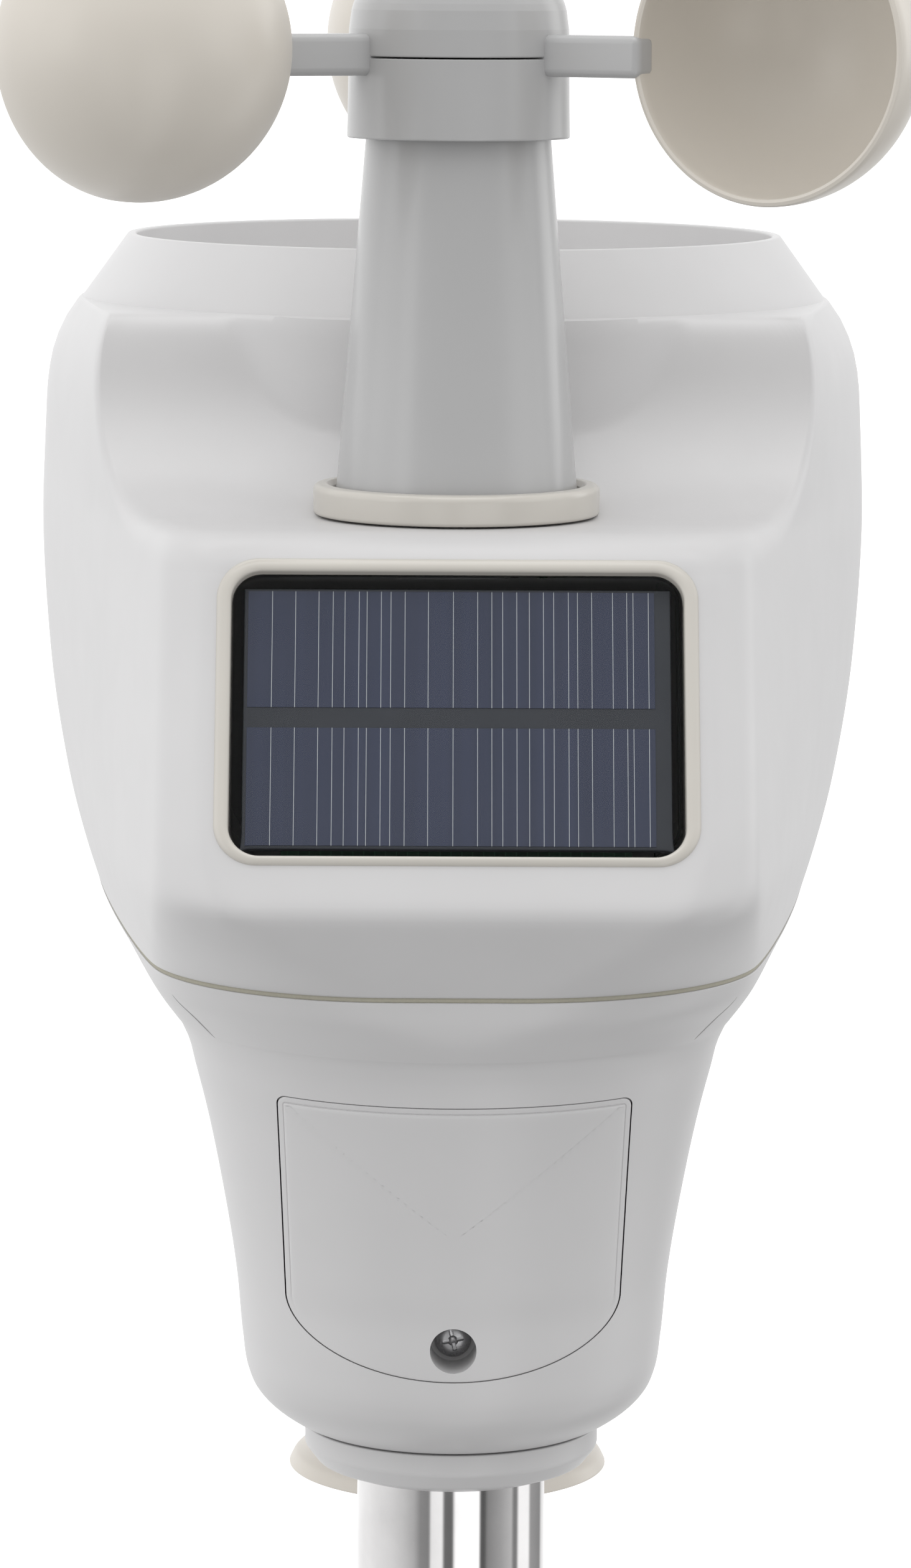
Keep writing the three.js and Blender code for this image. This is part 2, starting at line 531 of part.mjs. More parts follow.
function rotor() {
  const skirt = turned([[HUB_RADIUS - 2, HUB_BOTTOM], [HUB_RADIUS, HUB_BOTTOM], [HUB_RADIUS, HUB_SPLIT - 0.15],
    [2.1, HUB_SPLIT - 0.15], [2.1, 250.8], [5, 250.8], [5, HUB_SPLIT - 2], [HUB_RADIUS - 2, HUB_SPLIT - 2],
    [HUB_RADIUS - 2, HUB_BOTTOM]], 28);
  const bore = rod(HUB_RADIUS - 2, HUB_SPLIT - 0.15, HUB_SPLIT + 10, [0, 0], 28);
  const arms = CUP_ANGLES.map((degrees) => armSolid(degrees)).reduce((a, b) => a.add(b));
  const cupRoom = CUP_ANGLES.map((degrees) => {
    const geometry = new THREE.SphereGeometry(CUP_RADIUS + GAP, 20, 12);
    geometry.translate(...cupCentre(degrees));
    return toSolid(geometry);
  }).reduce((a, b) => a.add(b));
  const hubRoom = rod(HUB_RADIUS - 2, HUB_BOTTOM, HUB_SPLIT - 2, [0, 0], 28);
  const hub = skirt.add(arms.subtract(bore).subtract(hubRoom).subtract(cupRoom));
  add('rotor_hub', hub, mastGrey);

  const dome = turned([[HUB_RADIUS - 2, HUB_SPLIT + 0.15], [HUB_RADIUS - 0.1, HUB_SPLIT + 0.15],
    [18.3, 267], [16.9, 271.5], [13.6, 277], [7.5, 280.2], [0, 281.2], [0, 279.2],
    [7, 278.3], [12.8, 275.1], [16.5, 266.6], [HUB_RADIUS - 2, HUB_SPLIT + 0.15]], 24);
  const armRoom = CUP_ANGLES.map((degrees) => armSolid(degrees, 0.3)).reduce((a, b) => a.add(b));
  add('rotor_cap', dome.subtract(armRoom), mastGrey);

  CUP_ANGLES.forEach((degrees, i) => {
    const geometry = toGeometry(hemisphere(CUP_RADIUS, CUP_RADIUS - CUP_WALL, 22, 5));
    geometry.rotateX(-Math.PI / 2);
    geometry.rotateZ(THREE.MathUtils.degToRad(degrees));
    geometry.translate(...cupCentre(degrees));
    add(`wind_cup_${i + 1}`, toSolid(geometry), cupCream);
  });
  add('rotor_shaft', rod(1.75, 226, 267.5, [0, 0], 20), steel);
  add('rotor_magnet', ring(2.1, 4.6, 226.4, 230.4, [0, 0], 16), magnetGrey);
  const nut = ring(2.1, 3.6, HUB_SPLIT + 0.2, HUB_SPLIT + 3, [0, 0], 6);
  add('rotor_nut', nut, steel);
}

// ---- tipping bucket ----
const PIVOT_Z = 124;
const BUCKET_TILT = 15;

const prismAlongX = (outlinePoints, width) => {
  const shape = new THREE.Shape(outlinePoints.map(([y, z]) => new THREE.Vector2(y, z)));
  const geometry = extruded(shape, width);
  geometry.translate(0, 0, -width / 2);
  geometry.rotateY(Math.PI / 2);
  geometry.rotateX(Math.PI / 2);
  return toSolid(geometry);
};

function rainGauge() {
  const tray = rod(44, 99, 100.6, [0, REAR_Y], 32).add(ring(42.4, 44, 99, 104, [0, REAR_Y], 32))
    .subtract(rod(4, 90, 110, [-30, REAR_Y], 16)).subtract(rod(4, 90, 110, [30, REAR_Y], 16));
  add('rain_tray', tray, innerWhite);

  const chamber = (side) => prismAlongX([[side * 0.9, 1.6], [side * 30, 13], [side * 30, 30], [side * 0.9, 30]], 20);
  const bucket = prismAlongX([[-28, 10.2], [-27, 9.4], [0, -1.2], [27, 9.4], [28, 10.2], [1.6, 24], [-1.6, 24]], 22.4)
    .subtract(chamber(1)).subtract(chamber(-1))
    .add(rodAlongX(3.2, -11.2, 11.2, 0, -1.6, 20)).subtract(rodAlongX(1.65, -20, 20, 0, -1.6, 20));
  const tilted = new THREE.Group();
  tilted.position.set(0, REAR_Y, PIVOT_Z);
  tilted.rotation.x = THREE.MathUtils.degToRad(BUCKET_TILT);
  station.add(tilted);
  add('tipping_bucket', bucket, innerWhite, [0, 0, 1.6], tilted);
  add('bucket_magnet', block([1.6, 5, 5], [12.4, 0, 14]), magnetGrey, [0, 0, 0], tilted);

  const cheek = (x) => prismAlongX([[-12, -22.6], [12, -22.6], [5, 4], [-5, 4]], 1.6).translate([x, 0, 0]);
  const frame = cheek(15.2).add(cheek(-15.2)).add(block([32, 24, 1.6], [0, 0, -22.2]))
    .subtract(rodAlongX(1.65, -30, 30, 0, 0, 20));
  add('bucket_frame', frame.translate([0, REAR_Y, PIVOT_Z]), innerWhite);
  add('bucket_axle', rodAlongX(1.3, -16.8, 16.8, REAR_Y, PIVOT_Z, 20), steel);
  const board = block([1.6, 26, 18], [18, REAR_Y, PIVOT_Z + 10]).add(block([2, 14, 2.4], [19.6, REAR_Y, PIVOT_Z + 13]));
  add('rain_sensor_board', board, boardGreen);
}

// ---- radiation shield and climate sensor ----
const ROD_ORBIT = 20;
const rodPlaces = [90, 210, 330].map((degrees) => {
  const angle = THREE.MathUtils.degToRad(degrees);
  return [ROD_ORBIT * Math.cos(angle), REAR_Y + ROD_ORBIT * Math.sin(angle)];
});
const plateHeight = (i) => 79.6 - i * PLATE_STEP;

function radiationShield() {
  for (let i = 0; i < PLATE_COUNT; i += 1) {
    const z = plateHeight(i);
    const top = i === 0 ? 86 - GAP : plateHeight(i - 1) - GAP;
    const dish = turned([[15, z], [24, z], [33.4, z - 6], [PLATE_RADIUS, z - 6.9], [PLATE_RADIUS, z - 5.4],
      [24.5, z + 1.5], [15, z + 1.5], [15, z]], 20, [0, REAR_Y, 0]);
    const posts = rodPlaces.map((at) => rod(3.2, z + 0.5, top, at, 6)).reduce((a, b) => a.add(b));
    const holes = rodPlaces.map((at) => rod(1.8, z - 5, top + 5, at, 6)).reduce((a, b) => a.add(b));
    add(`shield_plate_${i + 1}`, dish.add(posts).subtract(holes), housingGrey);
  }
  rodPlaces.forEach((at, i) => add(`shield_screw_${i + 1}`,
    rod(1.35, 4, 85.5, at, 8).add(rod(2.8, 4, 6.2, at, 10)), steel));
  const board = block([12, 1.6, 30], [0, REAR_Y, 52]).add(block([4, 2, 4], [0, REAR_Y - 1.5, 42]));
  add('climate_sensor_board', board, boardGreen);
}

// ---- wind vane ----
const VANE_RIM_Z = -25;
function windVane() {
  const bottom = plateHeight(PLATE_COUNT - 1) - GAP;
  const housing = turned([[4.4, -10], [13, -10], [13, 6.6], [27, 6.6], [31, 8.6], [31, bottom - 5.2], [29.4, bottom - 5.2],
    [26.4, 8.8], [4.4, 8.8], [4.4, -10]], 22, [0, REAR_Y, 0]);
  const posts = rodPlaces.map((at) => rod(3.2, 8, bottom, at, 8)).reduce((a, b) => a.add(b));
  const holes = rodPlaces.map((at) => rod(1.8, 0, 30, at, 6)).reduce((a, b) => a.add(b));
  add('vane_housing', housing.add(posts).subtract(holes), housingGrey);
  add('vane_bearing', ring(2.1, 4.05, -9.6, -6.6, [0, REAR_Y], 16), steel);
  add('vane_shaft', rod(1.75, -30, 9, [0, REAR_Y], 20), steel);
  add('vane_magnet', ring(2.1, 3.9, 2.5, 6, [0, REAR_Y], 16), magnetGrey);
  add('vane_sensor_board', rod(11, 11.4, 13, [0, REAR_Y], 28), boardGreen);

  const hub = turned([[2.1, -13.4], [15, -13.4], [17.5, -12.6], [VANE_HUB_RADIUS - 1.4, -22.6], [VANE_HUB_RADIUS, VANE_RIM_Z],
    [VANE_HUB_RADIUS - 1.6, VANE_RIM_Z], [15.4, -15.2], [9, -15.2], [9, -40], [2.1, -40], [2.1, -13.4]],
    24, [0, REAR_Y, 0]);
  add('vane_hub', hub, cupCream);
  const tail = prismAlongX([[9.35, -28], [30, -28], [70, -24], [72, -29], [68, -66], [61, -69], [44, -50],
    [9.35, -39.5]], 2.4).translate([0, REAR_Y, 0]);
  add('vane_tail', tail, cupCream);
  const nose = turned([[0, 0], [3.2, 2.5], [4.2, 8], [3.4, 24], [3.4, 44], [0, 44]], 20);
  const noseGeometry = toGeometry(nose);
  noseGeometry.rotateX(-Math.PI / 2);
  noseGeometry.translate(0, REAR_Y - 9.35 - 44, -34);
  add('vane_nose', toSolid(noseGeometry), cupCream);
}

// ---- electronics and joints of the shells ----
function electronics() {
  add('main_board', facePlate(62, 42, 2, -17, -15.4)
    .add(facePlate(14, 14, 1, -19, -16)).add(facePlate(9, 22, 1, -18.4, -16).translate([20, 0, 0])), boardGreen);
  add('antenna', rod(1.1, 112, 168, [38, 6], 12).add(rod(2.6, 104, 114, [38, 6], 14)), sealBlack);
  const seamRow = PAN_SECTIONS[3];
  const section = panSection(seamRow);
  const sealRing = loft([[97.9, outline(section, 0.6)], [98.1, outline(section, 0.6)]])
    .subtract(loft([[97, outline(section, 1.9)], [99, outline(section, 1.9)]]));
  add('shell_seal', sealRing, sealBlack);
}

pole();
lowerShell();
batteryDoor();
batteries();
upperShell();
solarWindow();
electronics();
mast();
rotor();
rainCollector();
rainGauge();
radiationShield();
windVane();

export default station;
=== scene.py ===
"""Looks of the pole-top weather station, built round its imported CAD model.

Lengths here are in millimetres with heights counted from the collar's lower face, as on a drawing
of the housing; make_mesh() turns them into metres in the frame. The front faces -Y.
"""
import json
import math

import bmesh
import bpy
import numpy as np
from mathutils import Matrix, Vector


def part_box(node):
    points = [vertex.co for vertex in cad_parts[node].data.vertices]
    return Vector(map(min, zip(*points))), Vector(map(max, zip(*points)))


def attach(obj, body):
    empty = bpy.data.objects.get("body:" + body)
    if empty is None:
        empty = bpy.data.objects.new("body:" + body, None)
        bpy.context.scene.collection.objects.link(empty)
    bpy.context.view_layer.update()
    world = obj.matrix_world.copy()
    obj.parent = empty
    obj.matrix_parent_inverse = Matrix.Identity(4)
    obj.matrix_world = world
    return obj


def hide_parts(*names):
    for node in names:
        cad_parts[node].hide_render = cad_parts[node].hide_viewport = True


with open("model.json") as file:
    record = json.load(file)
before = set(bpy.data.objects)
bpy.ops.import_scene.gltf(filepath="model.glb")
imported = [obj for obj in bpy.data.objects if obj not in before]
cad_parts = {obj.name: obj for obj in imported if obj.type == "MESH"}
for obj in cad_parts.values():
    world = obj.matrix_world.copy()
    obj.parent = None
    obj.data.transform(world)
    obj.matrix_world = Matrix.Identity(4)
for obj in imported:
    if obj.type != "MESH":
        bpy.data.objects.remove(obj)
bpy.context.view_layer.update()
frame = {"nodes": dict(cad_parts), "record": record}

# ---------------------------------------------------------------- places taken from the frame
MM = 0.001


def node_box(node):
    """Lowest and highest corners of a CAD node in mm, heights above the collar's lower face."""
    low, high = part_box(node)
    shift = Vector((0, 0, COLLAR_Z))
    return Vector(low) / MM - shift, Vector(high) / MM - shift


COLLAR_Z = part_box("pole_collar")[0][2] / MM
COLLECTOR_LOW, COLLECTOR_HIGH = node_box("rain_collector")
REAR_Y = (COLLECTOR_LOW.y + COLLECTOR_HIGH.y) / 2
LEDGE = node_box("mast_ring")[0].z - 0.35
COLLAR_RADIUS = node_box("pole_collar")[1].x
COLLAR_TOP = node_box("pole_collar")[1].z
POLE_RADIUS = node_box("pole")[1].x
SEAM_LOW = node_box("lower_shell")[1].z
SEAM_HIGH = node_box("upper_shell")[0].z
HUB_BOTTOM = node_box("rotor_hub")[0].z
MAST_TOP = node_box("mast_post")[1].z
CAP_TOP = node_box("rotor_cap")[1].z
VANE_RIM_Z = -25.0

WALL = 2.2
FACE_SLOPE = 0.51
FACE_ANGLE = math.atan(FACE_SLOPE)
FACE_BREAK = 114.7
FACE_MIDDLE = 148.1
HOLLOW_FOOT_Y, HOLLOW_RADIUS = -8.0, 40.0
FILLET_FOOT, FILLET_RADIUS = 97.0, 22.0
HUB_SPLIT = 261.3
CUP_RADIUS, CUP_WALL, CUP_ORBIT, CUP_HEIGHT = 27.0, 1.5, 64.0, 263.0
CUP_ANGLES = (88, 208, 328)
WINDOW_WIDTH, WINDOW_HEIGHT, WINDOW_CORNER = 79.4, 52.5, 5.3


# ---------------------------------------------------------------- meshes
def make_mesh(name, points, faces, smooth=True):
    """A mesh object from points in mm."""
    mesh = bpy.data.meshes.new(name)
    place = np.asarray(points, dtype=float) + (0, 0, COLLAR_Z)
    mesh.from_pydata((place * MM).tolist(), [], faces)
    mesh.update()
    piece = bpy.data.objects.new(name, mesh)
    bpy.context.scene.collection.objects.link(piece)
    tidy_mesh(piece, smooth)
    return piece


def tidy_mesh(piece, smooth=True):
    work = bmesh.new()
    work.from_mesh(piece.data)
    bmesh.ops.remove_doubles(work, verts=work.verts, dist=1e-6)
    bmesh.ops.dissolve_degenerate(work, edges=work.edges, dist=1e-7)
    bmesh.ops.recalc_face_normals(work, faces=work.faces)
    for face in work.faces:
        face.smooth = smooth
    work.to_mesh(piece.data)
    work.free()


def apply_modifiers(piece):
    graph = bpy.context.evaluated_depsgraph_get()
    graph.update()
    mesh = bpy.data.meshes.new_from_object(piece.evaluated_get(graph))
    piece.modifiers.clear()
    old = piece.data
    piece.data = mesh
    bpy.data.meshes.remove(old)
    mesh.name = piece.name


def cut(piece, tools, operation="DIFFERENCE"):
    """Cuts each tool from the piece, or joins or keeps what is common, and deletes the tools."""
    for tool in tools:
        boolean = piece.modifiers.new("cut", "BOOLEAN")
        boolean.operation = operation
        boolean.solver = "EXACT"
        boolean.object = tool
        apply_modifiers(piece)
        bpy.data.objects.remove(tool)


def soften(piece, angle=40):
    """Smooth shading with true flats: edges sharper than the angle stay sharp."""
    limit = math.radians(angle)
    work = bmesh.new()
    work.from_mesh(piece.data)
    for edge in work.edges:
        edge.smooth = not (edge.is_manifold and edge.calc_face_angle(0) > limit)
    for face in work.faces:
        face.smooth = True
    work.to_mesh(piece.data)
    work.free()
    weighted = piece.modifiers.new("flats", "WEIGHTED_NORMAL")
    weighted.keep_sharp = True
    apply_modifiers(piece)


def finish_piece(piece, body, material, nodes=(), angle=40):
    soften(piece, angle)
    piece.data.materials.clear()
    piece.data.materials.append(material)
    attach(piece, body)
    if nodes:
        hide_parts(*nodes)
    return piece


def rounded(path, default=0.5, closed=True, steps=4):
    """Rounds the corners of a list of (radius, height) or (radius, height, fillet) points."""
    points = [Vector(point[:2]) for point in path]
    count = len(points)
    result = []
    for i, entry in enumerate(path):
        fillet = entry[2] if len(entry) > 2 else default
        here = points[i]
        ends = not closed and i in (0, count - 1)
        if fillet <= 0 or ends:
            result.append(tuple(here))
            continue
        back, ahead = points[i - 1] - here, points[(i + 1) % count] - here
        turn = back.angle(ahead)
        reach = min(fillet / math.tan(turn / 2), 0.48 * back.length, 0.48 * ahead.length)
        start, stop = here + back.normalized() * reach, here + ahead.normalized() * reach
        bend = max(1, round(steps * (math.pi - turn) / 1.2)) + 1
        for k in range(bend + 1):
            t = k / bend
            point = start * (1 - t) ** 2 + here * 2 * t * (1 - t) + stop * t * t
            result.append(tuple(point))
    return result


def turned(name, profile, at=(0, 0), segments=128, closed=True, default=0.5, steps=4):
    """A solid turned about Z from a rounded profile; radii of 0 close on the axis."""
    line = rounded(profile, default, closed, steps)
    rows = len(line)
    angles = np.arange(segments) * 2 * math.pi / segments
    points = []
    for radius, height in line:
        for angle in angles:
            points.append((at[0] + radius * math.cos(angle), at[1] + radius * math.sin(angle), height))
    faces = []
    for row in range(rows if closed else rows - 1):
        low, high = row * segments, (row + 1) % rows * segments
        for k in range(segments):
            after = (k + 1) % segments
            faces.append((low + k, low + after, high + after, high + k))
    return make_mesh(name, points, faces)


def grid_faces(rows, columns, wrap=True):
    faces = []
    for row in range(rows - 1):
        for column in range(columns if wrap else columns - 1):
            after = (column + 1) % columns
            low, high = row * columns, (row + 1) * columns
            faces.append((low + column, low + after, high + after, high + column))
    return faces


def box_piece(name, size, at):
    x, y, z = (value / 2 for value in size)
    corners = [(i, j, k) for i in (-x, x) for j in (-y, y) for k in (-z, z)]
    points = [(at[0] + i, at[1] + j, at[2] + k) for i, j, k in corners]
    faces = [(0, 1, 3, 2), (4, 6, 7, 5), (0, 4, 5, 1), (2, 3, 7, 6), (0, 2, 6, 4), (1, 5, 7, 3)]
    return make_mesh(name, points, faces)


def rounded_box(name, size, at, radius=1.0, segments=3):
    piece = box_piece(name, size, at)
    bevel = piece.modifiers.new("round", "BEVEL")
    bevel.width = radius * MM
    bevel.segments = segments
    apply_modifiers(piece)
    return piece


def move_points(piece, matrix):
    """Applies a matrix given in mm about the collar's centre."""
    lift = Matrix.Translation((0, 0, COLLAR_Z * MM))
    scale = Matrix.Scale(MM, 4)
    piece.data.transform(lift @ scale @ matrix @ scale.inverted() @ lift.inverted())
    piece.data.update()


# ---------------------------------------------------------------- materials
class Nodes:
    """Short helpers for a material's node tree."""

    def __init__(self, name):
        self.material = bpy.data.materials.new(name)
        self.material.use_nodes = True
        self.tree = self.material.node_tree
        self.shader = self.tree.nodes["Principled BSDF"]
        self.position = self.new("ShaderNodeTexCoord").outputs["Object"]

    def new(self, kind, **settings):
        node = self.tree.nodes.new(kind)
        for key, value in settings.items():
            setattr(node, key, value)
        return node

    def link(self, source, target):
        self.tree.links.new(source, target)

    def noise(self, scale, detail=4.0, roughness=0.55, stretch=None):
        node = self.new("ShaderNodeTexNoise")
        node.inputs["Scale"].default_value = scale
        node.inputs["Detail"].default_value = detail
        node.inputs["Roughness"].default_value = roughness
        source = self.position
        if stretch:
            mapping = self.new("ShaderNodeMapping")
            mapping.inputs["Scale"].default_value = stretch
            self.link(source, mapping.inputs["Vector"])
            source = mapping.outputs["Vector"]
        self.link(source, node.inputs["Vector"])
        return node.outputs["Fac"]

    def spread(self, source, low, high, to_low, to_high):
        node = self.new("ShaderNodeMapRange")
        node.inputs["From Min"].default_value = low
        node.inputs["From Max"].default_value = high
        node.inputs["To Min"].default_value = to_low
        node.inputs["To Max"].default_value = to_high
        self.link(source, node.inputs["Value"])
        return node.outputs["Result"]

    def math(self, operation, a, b=None):
        node = self.new("ShaderNodeMath", operation=operation)
        for socket, value in zip(node.inputs, (a, b)):
            if value is None:
                continue
            if isinstance(value, (int, float)):
                socket.default_value = value
            else:
                self.link(value, socket)
        return node.outputs["Value"]

    def mix(self, factor, first, second):
        node = self.new("ShaderNodeMix", data_type="RGBA")
        for socket, value in zip((node.inputs[0], node.inputs[6], node.inputs[7]), (factor, first, second)):
            if isinstance(value, (tuple, list, int, float)):
                socket.default_value = value
            else:
                self.link(value, socket)
        return node.outputs[2]

    def bump(self, height, strength, distance):
        node = self.new("ShaderNodeBump")
        node.inputs["Strength"].default_value = strength
        node.inputs["Distance"].default_value = distance
        self.link(height, node.inputs["Height"])
        self.link(node.outputs["Normal"], self.shader.inputs["Normal"])
        return node


def set_shader(nodes, **values):
    for key, value in values.items():
        nodes.shader.inputs[key.replace("_", " ")].default_value = value


def moulded_plastic(name, color, roughness, grain=0.25, grain_size=0.45, mottle=0.012, coat=0.0):
    """Satin moulded plastic: faint mottling, fine spark-eroded grain and slightly uneven gloss."""
    nodes = Nodes(name)
    set_shader(nodes, IOR=1.5, Coat_Weight=coat, Coat_Roughness=0.15)
    cloud = nodes.noise(45, 3)
    dark = [value * (1 - mottle) for value in color] + [1]
    light = [min(1, value * (1 + mottle)) for value in color] + [1]
    nodes.link(nodes.mix(nodes.spread(cloud, 0.3, 0.7, 0, 1), dark, light), nodes.shader.inputs["Base Color"])
    speckle = nodes.noise(900 / grain_size, 2, 0.6)
    nodes.link(nodes.spread(nodes.noise(120, 4), 0.3, 0.7, roughness - 0.015, roughness + 0.015),
               nodes.shader.inputs["Roughness"])
    nodes.bump(speckle, grain, 0.00006)
    return nodes.material


def polished_steel(name):
    """Drawn stainless tube: fine lengthwise polish lines and a few faint rub marks."""
    nodes = Nodes(name)
    set_shader(nodes, Metallic=1.0)
    lines = nodes.noise(260, 3, 0.6, stretch=(1, 1, 0.03))
    marks = nodes.noise(60, 5, 0.6)
    nodes.link(nodes.mix(nodes.spread(marks, 0.35, 0.7, 0, 1), (0.66, 0.65, 0.65, 1), (0.74, 0.73, 0.73, 1)),
               nodes.shader.inputs["Base Color"])
    nodes.link(nodes.spread(lines, 0.3, 0.7, 0.05, 0.1), nodes.shader.inputs["Roughness"])
    nodes.bump(lines, 0.05, 0.00004)
    return nodes.material


def plain_metal(name, color, roughness):
    nodes = Nodes(name)
    set_shader(nodes, Metallic=1.0)
    scratch = nodes.noise(700, 4, 0.6)
    dark = [value * 0.85 for value in color] + [1]
    nodes.link(nodes.mix(scratch, dark, list(color) + [1]), nodes.shader.inputs["Base Color"])
    nodes.link(nodes.spread(scratch, 0.3, 0.7, roughness - 0.06, roughness + 0.06),
               nodes.shader.inputs["Roughness"])
    nodes.bump(scratch, 0.1, 0.00003)
    return nodes.material


def soft_rubber(name, color, roughness=0.75):
    nodes = Nodes(name)
    grain = nodes.noise(1400, 3, 0.7)
    dark = [value * 0.75 for value in color] + [1]
    nodes.link(nodes.mix(grain, dark, list(color) + [1]), nodes.shader.inputs["Base Color"])
    nodes.link(nodes.spread(grain, 0.3, 0.7, roughness - 0.08, roughness + 0.08),
               nodes.shader.inputs["Roughness"])
    nodes.bump(grain, 0.3, 0.0001)
    return nodes.material


def circuit_board(name):
    nodes = Nodes(name)
    set_shader(nodes, Roughness=0.35)
    tracks = nodes.new("ShaderNodeTexBrick")
    tracks.inputs["Scale"].default_value = 260
    tracks.inputs["Color1"].default_value = (0.02, 0.13, 0.06, 1)
    tracks.inputs["Color2"].default_value = (0.03, 0.18, 0.08, 1)
    tracks.inputs["Mortar"].default_value = (0.05, 0.26, 0.12, 1)
    nodes.link(nodes.position, tracks.inputs["Vector"])
    nodes.link(tracks.outputs["Color"], nodes.shader.inputs["Base Color"])
    nodes.bump(tracks.outputs["Fac"], 0.2, 0.00005)
    return nodes.material


def cover_glass(name):
    nodes = Nodes(name)
    set_shader(nodes, Transmission_Weight=1.0, IOR=1.16)
    nodes.shader.inputs["Roughness"].default_value = 0.0
    haze = nodes.noise(90, 4)
    tint = nodes.mix(nodes.spread(haze, 0.3, 0.7, 0, 1), (0.90, 0.93, 0.97, 1), (0.95, 0.97, 1.0, 1))
    nodes.link(tint, nodes.shader.inputs["Base Color"])
    return nodes.material


def solar_cell_face(name):
    """Dark blue cells with faint vertical variation and a fine crystalline grain."""
    nodes = Nodes(name)
    set_shader(nodes, IOR=1.3, Coat_Weight=1.0, Coat_Roughness=0.03)
    bands = nodes.noise(420, 2, 0.5, stretch=(1, 0.01, 0.01))
    grain = nodes.noise(1500, 3, 0.6)
    base = nodes.mix(nodes.spread(bands, 0.3, 0.7, 0, 1), (0.013, 0.019, 0.046, 1), (0.018, 0.025, 0.058, 1))
    nodes.link(base, nodes.shader.inputs["Base Color"])
    nodes.link(nodes.spread(grain, 0.3, 0.7, 0.55, 0.6), nodes.shader.inputs["Roughness"])
    return nodes.material


MATERIALS = {
    "housing": moulded_plastic("housing_plastic", (0.60, 0.595, 0.598), 0.40, grain=0.10),
    # warm_trim is a warm beige: on the solar window's bezel it is painted reflection and shade standing in
    # for gloss on a lip of housing plastic; the mast ring gets the same beige
    "warm_trim": moulded_plastic("warm_beige_and_painted_reflection", (0.575, 0.55, 0.505), 0.24, grain=0.03),
    "mast_grey": moulded_plastic("mast_plastic", (0.45, 0.45, 0.452), 0.24, grain=0.05),
    "cup_cream": moulded_plastic("cup_plastic", (0.64, 0.60, 0.54), 0.34, grain=0.06),
    "inner_plastic": moulded_plastic("inner_plastic", (0.72, 0.71, 0.69), 0.5),
    "cell_sleeve": moulded_plastic("cell_sleeve", (0.10, 0.24, 0.14), 0.3, grain=0.05),
    "pole_steel": polished_steel("pole_steel"),
    "screw_steel": plain_metal("screw_steel", (0.62, 0.62, 0.63), 0.3),
    "brass": plain_metal("contact_brass", (0.62, 0.48, 0.24), 0.35),
    "magnet": plain_metal("magnet_grey", (0.16, 0.16, 0.17), 0.5),
    "black_rubber": soft_rubber("black_rubber", (0.03, 0.03, 0.03)),
    "seam_seal": soft_rubber("seam_foam", (0.46, 0.44, 0.36)),
    "circuit_board": circuit_board("circuit_board"),
    "solar_glass": cover_glass("cover_glass"),
    "solar_cells": solar_cell_face("solar_cells"),
}


# ---------------------------------------------------------------- camera, lights, stage
def add_camera():
    """Same place and aim as the picture's: 1.07 m in front of the mast, looking slightly down."""
    distance, height, aside = 1068.8, 282.6, 0.13
    pitch, roll, orbit = math.radians(8.21), 0.0058, -0.0079
    lens = 9430 / 2520 * 36
    data = bpy.data.cameras.new("camera")
    data.sensor_width = 36
    data.sensor_fit = "AUTO"
    data.lens = lens
    data.clip_start = 0.05
    data.clip_end = 50
    camera = bpy.data.objects.new("camera", data)
    aim = Matrix.Rotation(math.pi / 2 - pitch, 4, "X") @ Matrix.Rotation(roll, 4, "Z")
    place = Matrix.Translation((aside * MM, -distance * MM, (height + COLLAR_Z) * MM))
    camera.matrix_world = Matrix.Rotation(orbit, 4, "Z") @ place @ aim
    bpy.context.scene.collection.objects.link(camera)
    bpy.context.scene.camera = camera


def add_area(name, place, aim, size, power, color=(1, 1, 1)):
    data = bpy.data.lights.new(name, "AREA")
    data.shape = "RECTANGLE"
    data.size, data.size_y = size
    data.energy = power
    data.color = color
    light = bpy.data.objects.new(name, data)
    direction = Vector(aim) - Vector(place)
    light.rotation_euler = direction.to_track_quat("-Z", "Y").to_euler()
    light.location = place
    bpy.context.scene.collection.objects.link(light)


# Studio brightness by compass angle from the front. Mirror-like surfaces see strip lights, cards and the gaps
# between them; matt surfaces see their soft average.
STRIPS = (
    (-180, 1.05), (-120, 1.0), (-78, 0.8), (-60, 0.66), (-46, 0.5), (-38, 0.30), (-27, 0.26), (-24, 1.0),
    (-11, 1.1),
    (-8, 0.18), (2, 0.16), (5, 1.3), (34, 1.5), (37, 0.10), (42, 0.12), (46, 0.28), (64, 0.42), (80, 0.6),
    (84, 0.25),
    (89, 0.25), (93, 1.2), (111, 1.2), (116, 0.4), (142, 0.3), (150, 0.9), (180, 1.05),
)
LAMPS = (
    (-180, 1.1), (-130, 1.2), (-85, 0.75), (-68, 0.7), (-61, 1.7), (-50, 1.8), (-42, 0.5), (-20, 0.3),
    (20, 0.3),
    (48, 0.5), (58, 1.2), (70, 1.2), (78, 0.5), (108, 0.5), (114, 1.9), (130, 1.9), (138, 0.6), (155, 1.0),
    (180, 1.1),
)
GLOW = (
    (-180, 1.0), (-120, 0.95), (-90, 0.97), (-60, 1.18), (-42, 1.0), (-25, 0.6), (0, 0.48), (25, 0.6),
    (42, 0.92),
    (60, 0.92), (90, 0.68), (120, 0.85), (180, 1.0),
)
OVERHEAD = ((-180, 0.0), (-75, 0.0), (-45, 1.0), (45, 1.0), (75, 0.0), (180, 0.0))
GLOW_ABOVE, GLOW_BELOW, SOFTBOX, LAMPS_ABOVE, DARK_BAND = 0.95, 0.4, 2.1, 0.7, 0.6


